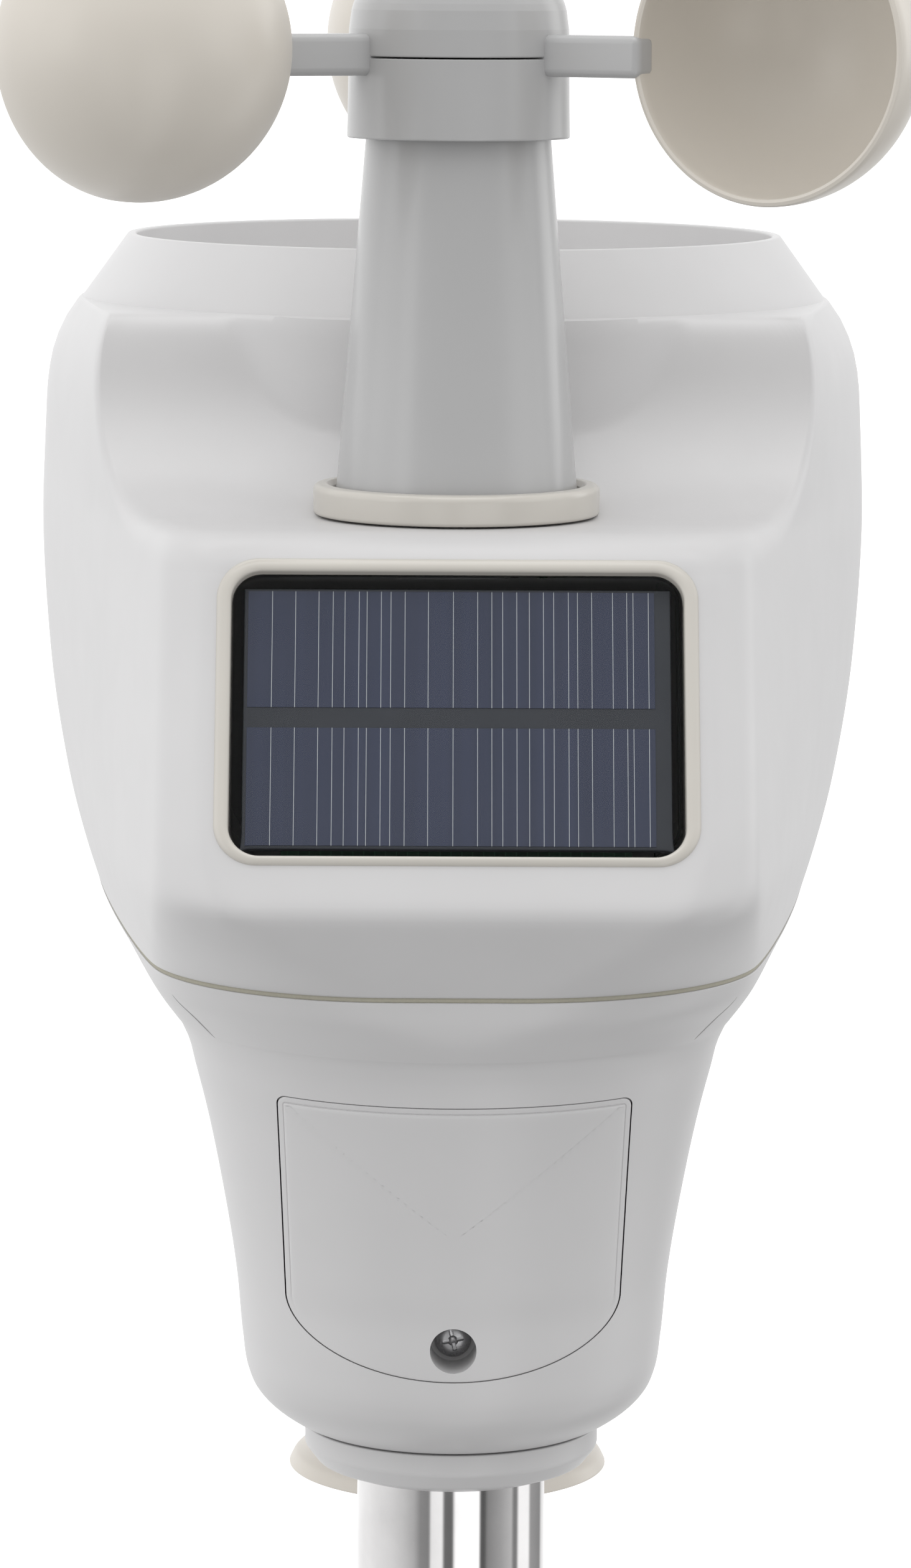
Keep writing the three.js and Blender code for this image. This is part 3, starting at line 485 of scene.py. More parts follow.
class Sky:
    """Node helpers for the world."""

    def __init__(self):
        self.world = bpy.data.worlds.new("studio")
        self.world.use_nodes = True
        self.world.cycles.sampling_method = "NONE"
        self.tree = self.world.node_tree
        self.tree.nodes.clear()
        looked = self.new("ShaderNodeTexCoord")
        self.direction = self.new("ShaderNodeSeparateXYZ", looked.outputs["Generated"])

    def new(self, kind, *sources, **settings):
        node = self.tree.nodes.new(kind)
        for key, value in settings.items():
            setattr(node, key, value)
        for socket, source in zip(node.inputs, sources):
            if source is not None:
                self.tree.links.new(source, socket)
        return node

    def compass(self):
        """Share of a full turn, from behind, of the direction looked in."""
        back = self.new("ShaderNodeMath", self.direction.outputs["Y"], operation="MULTIPLY")
        back.inputs[1].default_value = -1
        turn = self.new("ShaderNodeMath", self.direction.outputs["X"], back.outputs[0], operation="ARCTAN2")
        share = self.new("ShaderNodeMapRange", turn.outputs[0])
        share.inputs["From Min"].default_value = -math.pi
        share.inputs["From Max"].default_value = math.pi
        return share.outputs["Result"]

    def ramp(self, stops, factor):
        node = self.new("ShaderNodeValToRGB", factor)
        elements = node.color_ramp.elements
        for index, (angle, value) in enumerate(stops):
            place = (angle + 180) / 360
            stop = elements[index] if index < 2 else elements.new(place)
            stop.position = place
            stop.color = [value / 2] * 3 + [1]
        return node.outputs["Color"]

    def height(self, low, high):
        """Goes from 0 to 1 as the direction's height goes from low to high."""
        rise = self.new("ShaderNodeMapRange", self.direction.outputs["Z"])
        rise.inputs["From Min"].default_value = low
        rise.inputs["From Max"].default_value = high
        return rise.outputs["Result"]

    def mix(self, factor, first, second):
        """Blends the first colour into a second one, or into a grey level."""
        node = self.new("ShaderNodeMix", factor, data_type="RGBA")
        self.tree.links.new(first, node.inputs[6])
        if isinstance(second, float):
            node.inputs[7].default_value = [second / 2] * 3 + [1]
        else:
            self.tree.links.new(second, node.inputs[7])
        return node.outputs[2]

    def background(self, color, strength):
        node = self.new("ShaderNodeBackground", color)
        node.inputs["Strength"].default_value = strength
        return node.outputs[0]


def add_world():
    """White to the camera, strips to reflections and a soft glow to matt surfaces."""
    sky = Sky()
    bpy.context.scene.world = sky.world
    compass = sky.compass()
    ahead = sky.ramp(OVERHEAD, compass)
    glow = sky.mix(sky.height(0.3, 0.75), sky.ramp(GLOW, compass), GLOW_ABOVE)
    glow = sky.mix(sky.height(-0.2, -0.7), glow, GLOW_BELOW)
    glow = sky.mix(sky.new("ShaderNodeMath", sky.height(0.6, 0.75), ahead, operation="MULTIPLY").outputs[0],
                   glow, SOFTBOX)
    strips = sky.mix(sky.height(-0.12, -0.04), sky.ramp(STRIPS, compass), sky.ramp(LAMPS, compass))
    strips = sky.mix(sky.height(0.3, 0.6), strips, LAMPS_ABOVE)
    above = sky.new("ShaderNodeMath", sky.height(0.7, 0.745), ahead, operation="MULTIPLY")
    strips = sky.mix(above.outputs[0], strips, DARK_BAND)
    strips = sky.mix(sky.height(0.866, 0.888), strips, SOFTBOX)
    path = sky.new("ShaderNodeLightPath")
    through = sky.new("ShaderNodeMath", path.outputs["Is Glossy Ray"], path.outputs["Is Transmission Ray"],
                      operation="SUBTRACT", use_clamp=True)
    seen = sky.new("ShaderNodeMixShader", through.outputs[0],
                   sky.background(glow, 2 * STUDIO_POWER), sky.background(strips, 2 * STUDIO_POWER))
    white = sky.background(None, 1.0)
    white.node.inputs["Color"].default_value = (1, 1, 1, 1)
    picked = sky.new("ShaderNodeMixShader", path.outputs["Is Camera Ray"], seen.outputs[0], white)
    sky.new("ShaderNodeOutputWorld", picked.outputs[0])


STUDIO_POWER = 1.12


def add_stage():
    bpy.context.scene.view_settings.view_transform = "Standard"
    add_world()
    size = 40.0
    mesh = bpy.data.meshes.new("floor")
    corners = [(-size, -size, 0), (size, -size, 0), (size, size, 0), (-size, size, 0)]
    mesh.from_pydata(corners, [], [(0, 1, 2, 3)])
    floor = bpy.data.objects.new("floor", mesh)
    floor.location.z = -0.002
    floor.visible_glossy = False
    floor.visible_diffuse = False
    bpy.context.scene.collection.objects.link(floor)
    nodes = Nodes("floor_white")
    set_shader(nodes, Roughness=0.9)
    nodes.shader.inputs["Base Color"].default_value = (0.75, 0.75, 0.75, 1)
    nodes.shader.inputs["Emission Color"].default_value = (1, 1, 1, 1)
    nodes.shader.inputs["Emission Strength"].default_value = 0.6
    mesh.materials.append(nodes.material)
    add_area("left_softbox", (-1.3, -0.2, 0.7), (0, 0.05, 0.33), (0.7, 1.2), 1.5)
    add_area("right_softbox", (1.3, -0.1, 0.7), (0, 0.05, 0.33), (0.7, 1.2), 1.5)
    add_area("top_softbox", (0, 0.1, 1.7), (0, 0.05, 0.3), (1.2, 1.0), 2)


add_camera()
add_stage()


# ---------------------------------------------------------------- housing outline
def smooth_table(rows, heights):
    """Smooth curves through a table's columns, read at the given heights."""
    table = np.array(rows, dtype=float)
    z = table[:, 0]
    slopes = np.gradient(table[:, 1:], z, axis=0)
    index = np.clip(np.searchsorted(z, heights) - 1, 0, len(z) - 2)
    step = z[index + 1] - z[index]
    t = np.clip((heights - z[index]) / step, 0, 1)[:, None]
    step = step[:, None]
    a, b = table[index, 1:], table[index + 1, 1:]
    return ((2 * t ** 3 - 3 * t ** 2 + 1) * a + (t ** 3 - 2 * t ** 2 + t) * step * slopes[index]
            + (3 * t ** 2 - 2 * t ** 3) * b + (t ** 3 - t ** 2) * step * slopes[index + 1])


def outline(front_y, front_half, corner, rear, inset, columns):
    """Plan of the housing: two front corner arcs and a rear arc with tangents between, evenly spaced."""
    theta = np.linspace(-math.pi / 2, 1.5 * math.pi, 1441)
    ux, uy = np.cos(theta), np.sin(theta)
    centres = np.array([[front_half - corner, front_y + corner], [corner - front_half, front_y + corner]])
    fronts = centres[:, :1] * ux + centres[:, 1:] * uy + corner
    side = np.where(fronts[0] >= fronts[1], 0, 1)
    front_reach = fronts.max(axis=0)
    front_slide = centres[side, 1] * ux - centres[side, 0] * uy
    rear_reach = REAR_Y * uy + rear
    rear_slide = REAR_Y * ux
    softness = 2.0
    most = np.maximum(front_reach, rear_reach)
    front_weight = np.exp((front_reach - most) / softness)
    rear_weight = np.exp((rear_reach - most) / softness)
    total = front_weight + rear_weight
    support = most + softness * np.log(total) - inset
    slide = (front_weight * front_slide + rear_weight * rear_slide) / total
    points = np.stack([support * ux - slide * uy, support * uy + slide * ux], axis=1)
    points = np.vstack([points[:-1], points[:1]])
    middle = np.array([[0, points[0, 1]]])
    points = np.vstack([middle, points[:-1], middle]) if abs(points[0, 0]) > 1e-6 else points
    length = np.concatenate([[0], np.cumsum(np.hypot(*np.diff(points, axis=0).T))])
    even = np.linspace(0, length[-1], columns + 1)[:-1]
    return np.stack([np.interp(even, length, points[:, 0]), np.interp(even, length, points[:, 1])], axis=1)


def front_line(z):
    """Front of the housing by height: a band leaning out, then the solar face leaning back."""
    nose = -40 - (169.4 - FACE_BREAK) * FACE_SLOPE
    band = -56 - (z - SEAM_HIGH) * (-nose - 56) / (FACE_BREAK - SEAM_HIGH)
    face = -40 - (169.4 - z) * FACE_SLOPE
    return 1.4 * np.logaddexp(band / 1.4, face / 1.4)


def hollow_rise(reach, radius):
    """Height gained at a distance from a hollow's foot: an arc that runs on as a steep straight."""
    arc_end, steepest = 0.92, 2.35
    curved = np.clip(reach, 0, arc_end * radius)
    return radius - np.sqrt(radius ** 2 - curved ** 2) + steepest * np.maximum(reach - arc_end * radius, 0)


def scoop_rise(x, y):
    """Height above the ledge: a hollow rising to the rear, and a tighter fillet round the rain collector."""
    distance = np.hypot(x, y - REAR_Y)
    hollow = hollow_rise(y - HOLLOW_FOOT_Y, HOLLOW_RADIUS)
    fillet = hollow_rise(FILLET_FOOT - distance, FILLET_RADIUS)
    fillet = fillet + 6 * np.maximum(FILLET_FOOT - FILLET_RADIUS + 3.5 - distance, 0)
    soft = 3.5
    joined = np.logaddexp(hollow / soft, fillet / soft)
    return soft * (joined - math.log(2) * np.exp(-(hollow + fillet) / soft))


def scoop_height(x, y):
    """Height of the housing's top: the ledge, rising in a hollow curve to the rain collector."""
    return np.minimum(LEDGE + scoop_rise(x, y), SHOULDER)


SHOULDER = 212.4
# height, half width of the front, front corner radius, rear radius
UPPER_ROWS = [
    (SEAM_HIGH, 56, 45, 70.9), (103, 55.3, 36, 72.5), (108, 54.6, 27, 74), (114.7, 54, 19, 75.7),
    (124, 53.5, 14, 77.5), (136, 53.5, 13, 79.3), (149, 53.5, 13, 80.5), (161, 53.5, 13, 81.2),
    (170, 53.5, 13, 81.4),
    (180, 53.5, 13, 81.1), (189, 53.5, 12, 80.7), (196, 53.5, 12, 80.3), (201, 53.5, 12, 79.5),
    (203.5, 53.5, 12, 78.8),
    (206, 53.5, 12, 77.8), (208.4, 53.5, 12, 76.6), (210.9, 53.5, 12, 75), (SHOULDER + 0.3, 53.5, 12, 73.5),
]


def smooth_step(value, low, high):
    t = np.clip((value - low) / (high - low), 0, 1)
    return t * t * (3 - 2 * t)


def grid_normals(grid):
    """Outward unit normals of a rows x columns grid of points that wraps round."""
    along = np.gradient(grid, axis=0)
    around = (np.roll(grid, -1, axis=1) - np.roll(grid, 1, axis=1)) / 2
    normal = np.cross(around, along)
    length = np.linalg.norm(normal, axis=2, keepdims=True)
    return normal / np.maximum(length, 1e-9)


def walled(name, outer, inner, close=True):
    """A shell between two grids of the same shape, joined at the first row and, if open there, the last."""
    rows, columns = outer.shape[:2]
    count = rows * columns
    faces = grid_faces(rows, columns)
    faces += [tuple(count + k for k in reversed(face)) for face in grid_faces(rows, columns)]
    for column in range(columns):
        after = (column + 1) % columns
        faces.append((after, column, count + column, count + after))
        if close:
            last = (rows - 1) * columns
            faces.append((last + column, last + after, count + last + after, count + last + column))
    return make_mesh(name, np.concatenate([outer.reshape(-1, 3), inner.reshape(-1, 3)]), faces)


def prism(name, shape, depth_from, depth_to, matrix):
    """A closed prism from a plan outline, between two heights, placed by a matrix in mm."""
    count = len(shape)
    points = [(x, y, depth_from) for x, y in shape] + [(x, y, depth_to) for x, y in shape]
    faces = [tuple(reversed(range(count))), tuple(range(count, 2 * count))]
    faces += [(k, (k + 1) % count, count + (k + 1) % count, count + k) for k in range(count)]
    piece = make_mesh(name, points, faces, smooth=False)
    move_points(piece, matrix)
    return piece


def rounded_rectangle(left, right, bottom, top, corner, steps=10):
    """Outline points, anticlockwise from the right side, with true arcs at the corners."""
    shape = []
    corners = [(right, top, 0), (left, top, 90), (left, bottom, 180), (right, bottom, 270)]
    for x, y, start in corners:
        centre_x = x - corner * (1 if x == right else -1)
        centre_y = y - corner * (1 if y == top else -1)
        for k in range(steps + 1):
            angle = math.radians(start + 90 * k / steps)
            shape.append((centre_x + corner * math.cos(angle), centre_y + corner * math.sin(angle)))
    return shape


# Window's frame: x across, y up the sloping face, z out of it
FACE_FRAME = (Matrix.Translation((0, -40 - (169.4 - FACE_MIDDLE) * FACE_SLOPE, FACE_MIDDLE))
              @ Matrix.Rotation(math.pi / 2 - FACE_ANGLE, 4, "X"))


def window_pad(points):
    """Flattens the body round the solar window into a pad whose edges fade into the rounded corners."""
    to_face = np.array(FACE_FRAME.inverted())
    from_face = np.array(FACE_FRAME)
    local = points @ to_face[:3, :3].T + to_face[:3, 3]
    across, up, out = np.moveaxis(local, -1, 0)
    half = 45.2 - 3.5 * smooth_step(-up, 22, 38)
    side = 1 - smooth_step(np.abs(across), half - 2.4, half + 2.4)
    ends = smooth_step(up, -40, -33) * (1 - smooth_step(up, 24, 30))
    near = smooth_step(out, -9, -5)
    local[..., 2] = out - np.minimum(out, 0) * side * ends * near
    return local @ from_face[:3, :3].T + from_face[:3, 3]


# ---------------------------------------------------------------- upper shell
def upper_shell():
    """Seam edge, walls, rounded shoulder and hollow top of the housing as one closed wall."""
    columns = 360
    edge = [(SEAM_HIGH, 0.3), (SEAM_HIGH + 0.08, 0.12), (SEAM_HIGH + 0.2, 0.03), (SEAM_HIGH + 0.5, 0)]
    heights = np.array([z for z, _ in edge] + list(np.linspace(100.4, LEDGE - 10, 52)))
    insets = np.array([inset for _, inset in edge] + [0] * 52)
    sections = smooth_table(UPPER_ROWS, heights)

    def wall_row(z, section, inset=0.0):
        half, corner, rear = section
        return outline(float(front_line(z)), half, corner, rear, inset, columns)

    rows = []
    for z, inset, section in zip(heights, insets, sections):
        rows.append(np.column_stack([wall_row(z, section, inset), np.full(columns, z)]))

    # walls above the ledge keep the ledge's front, and end where they meet the hollow top
    upper_heights = np.linspace(LEDGE - 10, SHOULDER, 60)
    upper_sections = smooth_table(UPPER_ROWS, upper_heights)
    front_limit = float(front_line(LEDGE - 2))
    stack = []
    for z, (half, corner, rear) in zip(upper_heights, upper_sections):
        front = min(float(front_line(z)), front_limit)
        stack.append(np.column_stack([outline(front, half, corner, rear, 0, columns), np.full(columns, z)]))
    stack = np.array(stack)
    top = scoop_height(stack[:, :, 0], stack[:, :, 1])
    above = stack[:, :, 2] >= top
    first = np.where(above.any(axis=0), above.argmax(axis=0), len(upper_heights) - 1)
    first = np.clip(first, 1, None)
    column = np.arange(columns)
    before, after = stack[first - 1, column], stack[first, column]
    gap_before = before[:, 2] - top[first - 1, column]
    gap_after = after[:, 2] - top[first, column]
    blend = np.clip(gap_before / (gap_before - gap_after - 1e-9), 0, 1)[:, None]
    ridge = before + (after - before) * blend
    for _ in range(3):
        ridge = (np.roll(ridge, 1, 0) + 2 * ridge + np.roll(ridge, -1, 0)) / 4

    # size of the rounded edge: broad along the ledge and round the rear shoulder, tight on the rising sides
    x, y, z = ridge.T
    side_drop = 6.5 - 3.3 * smooth_step(y, -25, 10) - 2.6 * smooth_step(y, 30, 50)
    top_reach = (8.5 - 5.9 * smooth_step(y, -25, 12) - 1.2 * smooth_step(y, 12, 32)
                 - 1.1 * smooth_step(y, 32, 48))
    base = LEDGE - 10
    low = ridge.copy()
    low[:, 2] = z - side_drop
    level = np.clip((low[:, 2] - base) / (SHOULDER - base) * 59, 0, 58.999)
    cell = level.astype(int)
    part = (level - cell)[:, None]
    wall_end = stack[cell, column] * (1 - part) + stack[cell + 1, column] * part

    inward = np.column_stack([-x, REAR_Y - y])
    inward /= np.linalg.norm(inward, axis=1, keepdims=True)
    top_start = ridge.copy()
    top_start[:, :2] += inward * top_reach[:, None]
    top_start[:, 2] = top_height(top_start[:, 0], top_start[:, 1])
    ridge[:, 2] = np.minimum(ridge[:, 2], SHOULDER)

    for t in np.linspace(0, 1, 14)[1:-1]:
        share = np.clip((base + (wall_end[:, 2] - base) * t - base) / (SHOULDER - base) * 59, 0, 58.999)
        cell = share.astype(int)
        part = (share - cell)[:, None]
        rows.append(stack[cell, column] * (1 - part) + stack[cell + 1, column] * part)
    for t in np.linspace(0, 1, 12):
        rows.append(wall_end * (1 - t) ** 2 + ridge * 2 * t * (1 - t) + top_start * t * t)

    # the top runs in along straight lines to the ring that the rain collector covers
    ring_radius = 73.2
    ring = -inward * ring_radius + (0, REAR_Y)
    beyond = np.hypot(top_start[:, 0], top_start[:, 1] - REAR_Y) < ring_radius + 0.05
    top_start[beyond, :2] = ring[beyond] - inward[beyond] * 0.05
    shares = np.linspace(0, 1, 160)[:, None]
    lines_x = top_start[:, 0] + (ring[:, 0] - top_start[:, 0]) * shares
    lines_y = top_start[:, 1] + (ring[:, 1] - top_start[:, 1]) * shares
    lines_z = top_height(lines_x, lines_y)
    step = np.sqrt(np.diff(lines_x, axis=0) ** 2 + np.diff(lines_y, axis=0) ** 2
                   + np.diff(lines_z, axis=0) ** 2)
    length = np.vstack([np.zeros(columns), np.cumsum(step, axis=0)])
    for t in np.linspace(0, 1, 44)[1:]:
        row = []
        for k in range(columns):
            at = np.interp(t * length[-1, k], length[:, k], shares[:, 0])
            row.append(top_start[k, :2] + (ring[k] - top_start[k, :2]) * at)
        row = np.array(row)
        rows.append(np.column_stack([row, top_height(row[:, 0], row[:, 1])]))

    outer = window_pad(np.array(rows))
    inner = outer - grid_normals(outer) * WALL
    inner[0, :, 2] = SEAM_HIGH
    piece = walled("upper_shell_body", outer, inner)
    window = rounded_rectangle(-41.5, 41.5, -27.6, 28.2, 6.6)
    cut(piece, [prism("window_cut", window, -14, 6, FACE_FRAME)])
    return finish_piece(piece, "station", MATERIALS["housing"], ["upper_shell"], angle=50)


def top_height(x, y):
    """The hollow top with its lip under the collector slightly rounded."""
    soft = 2.6
    return -soft * np.logaddexp(-(LEDGE + scoop_rise(x, y)) / soft, -SHOULDER / soft)


# ---------------------------------------------------------------- lower shell and battery door
BOWL_ROWS = [
    (8.85, 27.3), (9.4, 28.6), (11.1, 31.5), (13.6, 34.6), (15.9, 36.5), (19.5, 38.0), (25.4, 38.9), (37, 40),
    (54, 42.7), (70, 46), (77, 47.8), (82, 49.1), (84.4, 50.2),
]
PAN_FOOT, PAN_LEAN = 86.0, 0.12
PAN_ROWS = [(PAN_FOOT, 51.4, 51.2, 51, 46), (89.5, 54.3, 53.6, 52, 57), (93.5, 56.4, 55.2, 48, 65.5),
            (SEAM_LOW, 57.5, 56, 45.5, 70.9)]


def bowl_radius(z):
    return smooth_table([(height, radius) for height, radius in BOWL_ROWS], np.atleast_1d(z))[:, 0]


def polar_outline(section, z, angles, inset=0.0):
    """Distance from the pole's axis to the pan's outline in each direction."""
    reach, half, corner, rear = section
    shape = outline(-reach + (z - PAN_FOOT) * PAN_LEAN, half, corner, rear, inset, 720)
    direction = np.unwrap(np.arctan2(shape[:, 1], shape[:, 0]))
    distance = np.hypot(shape[:, 0], shape[:, 1])
    wrapped = np.concatenate([direction, [direction[0] + 2 * math.pi]])
    turned_angles = (angles - direction[0]) % (2 * math.pi) + direction[0]
    return np.interp(turned_angles, wrapped, np.concatenate([distance, distance[:1]]))


def lower_shell():
    """Bowl round the pole that flares into the pan under the rain gauge."""
    columns = 320
    angles = np.arange(columns) * 2 * math.pi / columns - math.pi / 2
    direction = np.column_stack([np.cos(angles), np.sin(angles)])

    def ring(radius, z):
        flat = direction * np.broadcast_to(radius, columns)[:, None]
        return np.column_stack([flat, np.broadcast_to(z, columns)])

    rows = [ring(POLE_RADIUS + 0.35, 8.85), ring(22, 8.85), ring(26.9, 8.85)]
    for z in np.concatenate([np.linspace(8.9, 20, 16), np.linspace(21.5, 84, 36)]):
        rows.append(ring(bowl_radius(z)[0], z))
    start = bowl_radius(84.0)[0]
    sections = smooth_table(PAN_ROWS, np.array([86.0]))[0]
    spread = polar_outline(sections, 86.0, angles) - start
    for t in np.linspace(0, 1, 14)[1:-1]:
        travel = spread * t ** 1.6
        rise = 84 + 2 * (1 - np.exp(-travel / 1.6)) / (1 - np.exp(-spread / 1.6))
        rows.append(ring(start + travel, rise))
    top_heights = list(np.linspace(86, SEAM_LOW - 0.8, 14)) + [SEAM_LOW - 0.2, SEAM_LOW - 0.08, SEAM_LOW]
    edge_insets = [0] * 14 + [0.03, 0.12, 0.3]
    for z, inset, section in zip(top_heights, edge_insets, smooth_table(PAN_ROWS, np.array(top_heights))):
        rows.append(ring(polar_outline(section, z, angles, inset), z))
    outer = np.array(rows)
    inner = outer - grid_normals(outer) * WALL
    inner[-1, :, 2] = SEAM_LOW
    piece = walled("lower_shell_body", outer, inner)
    cutters = [flare_slot(side) for side in (-1, 1)]
    cutters.append(prism("door_opening", door_outline(0.14), 20, 60, Matrix.Rotation(math.pi / 2, 4, "X")))
    cut(piece, cutters)
    return finish_piece(piece, "station", MATERIALS["housing"], ["lower_shell"], angle=50)


def flare_slot(side):
    """Shallow lens-shaped groove that runs down the flare on each side of the front."""
    z, x = 89.6, 47.4
    reach, _, corner, _ = smooth_table(PAN_ROWS, np.array([z]))[0]
    front = -reach + (z - PAN_FOOT) * PAN_LEAN
    centre = Vector((reach - corner, front + corner))
    around = Vector((x - centre.x, -math.sqrt(corner ** 2 - (x - centre.x) ** 2)))
    normal = Vector((side * around.x, around.y, -0.74 * corner)).normalized()
    along = Vector((side * 7.0, 0, 8.2))
    along = (along - normal * along.dot(normal)).normalized()
    across = normal.cross(along)
    frame_matrix = Matrix((along, across, normal)).transposed().to_4x4()
    place = Matrix.Translation((side * x, centre.y + around.y, z)) @ frame_matrix
    half, width, count = 5.6, 0.42, 40
    shape = []
    for k in range(count):
        angle = 2 * math.pi * k / count
        shape.append((half * math.cos(angle), width * math.sin(angle) * (1 - 0.35 * math.cos(angle))))
    return prism("groove", shape, -1.3, 4, place)


DOOR_TOP, DOOR_HALF, DOOR_LOW_HALF, DOOR_BEND, DOOR_BOTTOM = 77.0, 31.8, 30.4, 39.0, 25.1
SCREW_Z, SCREW_HOLE = 31.0, 4.2
SCREW_SEAT_Y = node_box("door_screw")[0].y + 2.2


def door_outline(grow=0.0):
    """Outline of the battery door seen from the front, anticlockwise from the top right corner."""
    half, low, corner = DOOR_HALF + grow, DOOR_LOW_HALF + grow, 1.6
    top, bottom = DOOR_TOP + grow, DOOR_BOTTOM - grow
    shape = []
    for k in range(7):
        angle = math.radians(15 * k)
        shape.append((half - corner + corner * math.cos(angle), top - corner + corner * math.sin(angle)))
    shape += [(x, top) for x in np.linspace(half - corner, corner - half, 40)[1:-1]]
    shape += [(-x, z) for x, z in reversed(shape[:7])]
    for t in np.linspace(0, 1, 30)[1:]:
        shape.append((-half + (half - low) * t, top - corner + (DOOR_BEND - top + corner) * t))
    for k in range(1, 60):
        angle = math.pi + math.pi * k / 60
        shape.append((low * math.cos(angle), DOOR_BEND + (DOOR_BEND - bottom) * math.sin(angle)))
    for t in np.linspace(0, 1, 30)[:-1]:
        shape.append((low + (half - low) * t, DOOR_BEND + (top - corner - DOOR_BEND) * t))
    return shape


def inset_outline(shape, distance):
    """Moves each point of an anticlockwise outline inwards."""
    points = np.array(shape)
    tangent = np.roll(points, -1, 0) - np.roll(points, 1, 0)
    tangent /= np.linalg.norm(tangent, axis=1, keepdims=True)
    return points + np.column_stack([-tangent[:, 1], tangent[:, 0]]) * distance


def on_bowl(flat, lift):
    """Lays front-view points (x, z) on the bowl, lifted off it."""
    x, z = flat[:, 0], flat[:, 1]
    radius = bowl_radius(z)
    y = -np.sqrt(radius ** 2 - x ** 2)
    scale = (radius + lift) / radius
    return np.column_stack([x * scale, y * scale, z])


def door_rebate():
    """Ledge of the lower shell that the door's thin edge lies on."""
    shape = door_outline(0.5)
    corners = [(0, -0.95), (1.7, -0.95), (1.7, -2.1), (0, -2.1)]
    rows = [on_bowl(inset_outline(shape, inset), lift) for inset, lift in corners]
    columns = len(shape)
    faces = grid_faces(4, columns)
    faces += [(3 * columns + k, 3 * columns + (k + 1) % columns, (k + 1) % columns, k)
              for k in range(columns)]
    ledge = make_mesh("door_rebate", np.concatenate(rows), faces)
    finish_piece(ledge, "station", MATERIALS["housing"], [], angle=35)


def battery_door():
    """Curved door with a stepped lip along its top and sides and a deep screw well."""
    shape = door_outline()
    # inset from the edge, height along the plain lower edge, height along the stepped edge
    steps = [(0, -0.7, -0.7), (0, -0.2, -0.2), (0.07, -0.06, -0.06), (0.2, 0, 0), (0.6, 0, 0), (0.95, 0, 0),
             (1.02, 0, -0.12), (1.12, 0, -0.12), (1.25, 0, 0.16), (1.5, 0, 0.3), (1.9, 0, 0.36),
              (2.6, 0, 0.38)]
    rows, backs = [], []
    for inset, plain, stepped in steps:
        flat = inset_outline(shape, inset)
        weight = smooth_step(flat[:, 1], 34, 42)
        rows.append(on_bowl(flat, plain + (stepped - plain) * weight))
        backs.append(on_bowl(flat, -0.85 if inset < 1.3 else -1.8))
    last = inset_outline(shape, steps[-1][0])
    centre = np.array([0, 52.0])
    for t in np.linspace(0, 1, 22)[1:]:
        flat = last + (centre - last) * t
        weight = smooth_step(flat[:, 1], 34, 42)
        rows.append(on_bowl(flat, 0.38 * weight))
        backs.append(on_bowl(flat, -1.8))
    piece = walled("battery_door_panel", np.array(rows), np.array(backs), close=False)
    foot = node_box("battery_door")[1].y
    well_foot = min(foot, SCREW_SEAT_Y + 2)
    depth = bowl_radius(SCREW_Z)[0] - 1 + well_foot
    well = turned("well", [(0, 0), (SCREW_HOLE + 1.05, 0), (SCREW_HOLE + 1.05, depth), (0, depth)],
                  segments=64,
                  closed=False, default=0)
    move_points(well, Matrix.Translation((0, well_foot, SCREW_Z)) @ Matrix.Rotation(math.pi / 2, 4, "X"))
    cut(piece, [well], "UNION")
    bore = turned("bore", [(0, 0), (SCREW_HOLE, 0), (SCREW_HOLE, 16), (0, 16)], segments=64, closed=False,
                  default=0)
    move_points(bore, Matrix.Translation((0, SCREW_SEAT_Y, SCREW_Z)) @ Matrix.Rotation(math.pi / 2, 4, "X"))
    cut(piece, [bore])
    return finish_piece(piece, "door", MATERIALS["housing"], ["battery_door"], angle=35)


def door_screw():
    """Pan-head screw with a cross recess, sunk in the door's well."""
    low, high = node_box("door_screw")
    length, head_height = high.y - low.y, 2.1
    shoulder = length - head_height
    head = turned("door_screw_head", [(0, 0), (0.9, 0), (1.5, 1.2), (1.5, shoulder), (3.3, shoulder, 0.3),
                                      (3.3, shoulder + 0.9, 0.8), (2.2, length - 0.15, 1.5), (0, length)],
                  segments=72, closed=False, default=0.15)
    slots = []
    for turn in (0, 90):
        slot = rounded_box("cross", (4.0, 0.8, 1.7), (0, 0, length - 0.35), 0.2, 2)
        move_points(slot, Matrix.Rotation(math.radians(turn + 12), 4, "Z"))
        slots.append(slot)
    slots.append(turned("cross_middle", [(0, length - 1.8), (0.95, length - 1), (0.95, length + 1),
                                      (0, length + 1)], segments=24, closed=False,
                        default=0))
    cut(head, slots)
    move_points(head, Matrix.Translation((0, high.y, SCREW_Z)) @ Matrix.Rotation(math.pi / 2, 4, "X"))
    return finish_piece(head, "door_screw", MATERIALS["screw_steel"], ["door_screw"], angle=30)


# ---------------------------------------------------------------- pole, collar, seam
def pole_pieces():
    low, high = node_box("pole")
    wall = 1.2
    pole = turned("pole_tube", [(POLE_RADIUS, low.z), (POLE_RADIUS, high.z), (POLE_RADIUS - wall, high.z),
                                (POLE_RADIUS - wall, low.z)], segments=160, default=0.25)
    finish_piece(pole, "station", MATERIALS["pole_steel"], ["pole"])
    inner, edge = POLE_RADIUS + 0.35, COLLAR_RADIUS
    collar = turned("pole_collar_ring", [(inner, 0, 0.4), (edge - 6.5, 0, 2.5), (edge - 2.4, 1.5, 2.2),
                                         (edge, 4.6, 1.8), (edge, COLLAR_TOP, 0.35),
                                          (inner, COLLAR_TOP, 0.3)],
                    segments=160, steps=6)
    finish_piece(collar, "station", MATERIALS["housing"], ["pole_collar"])


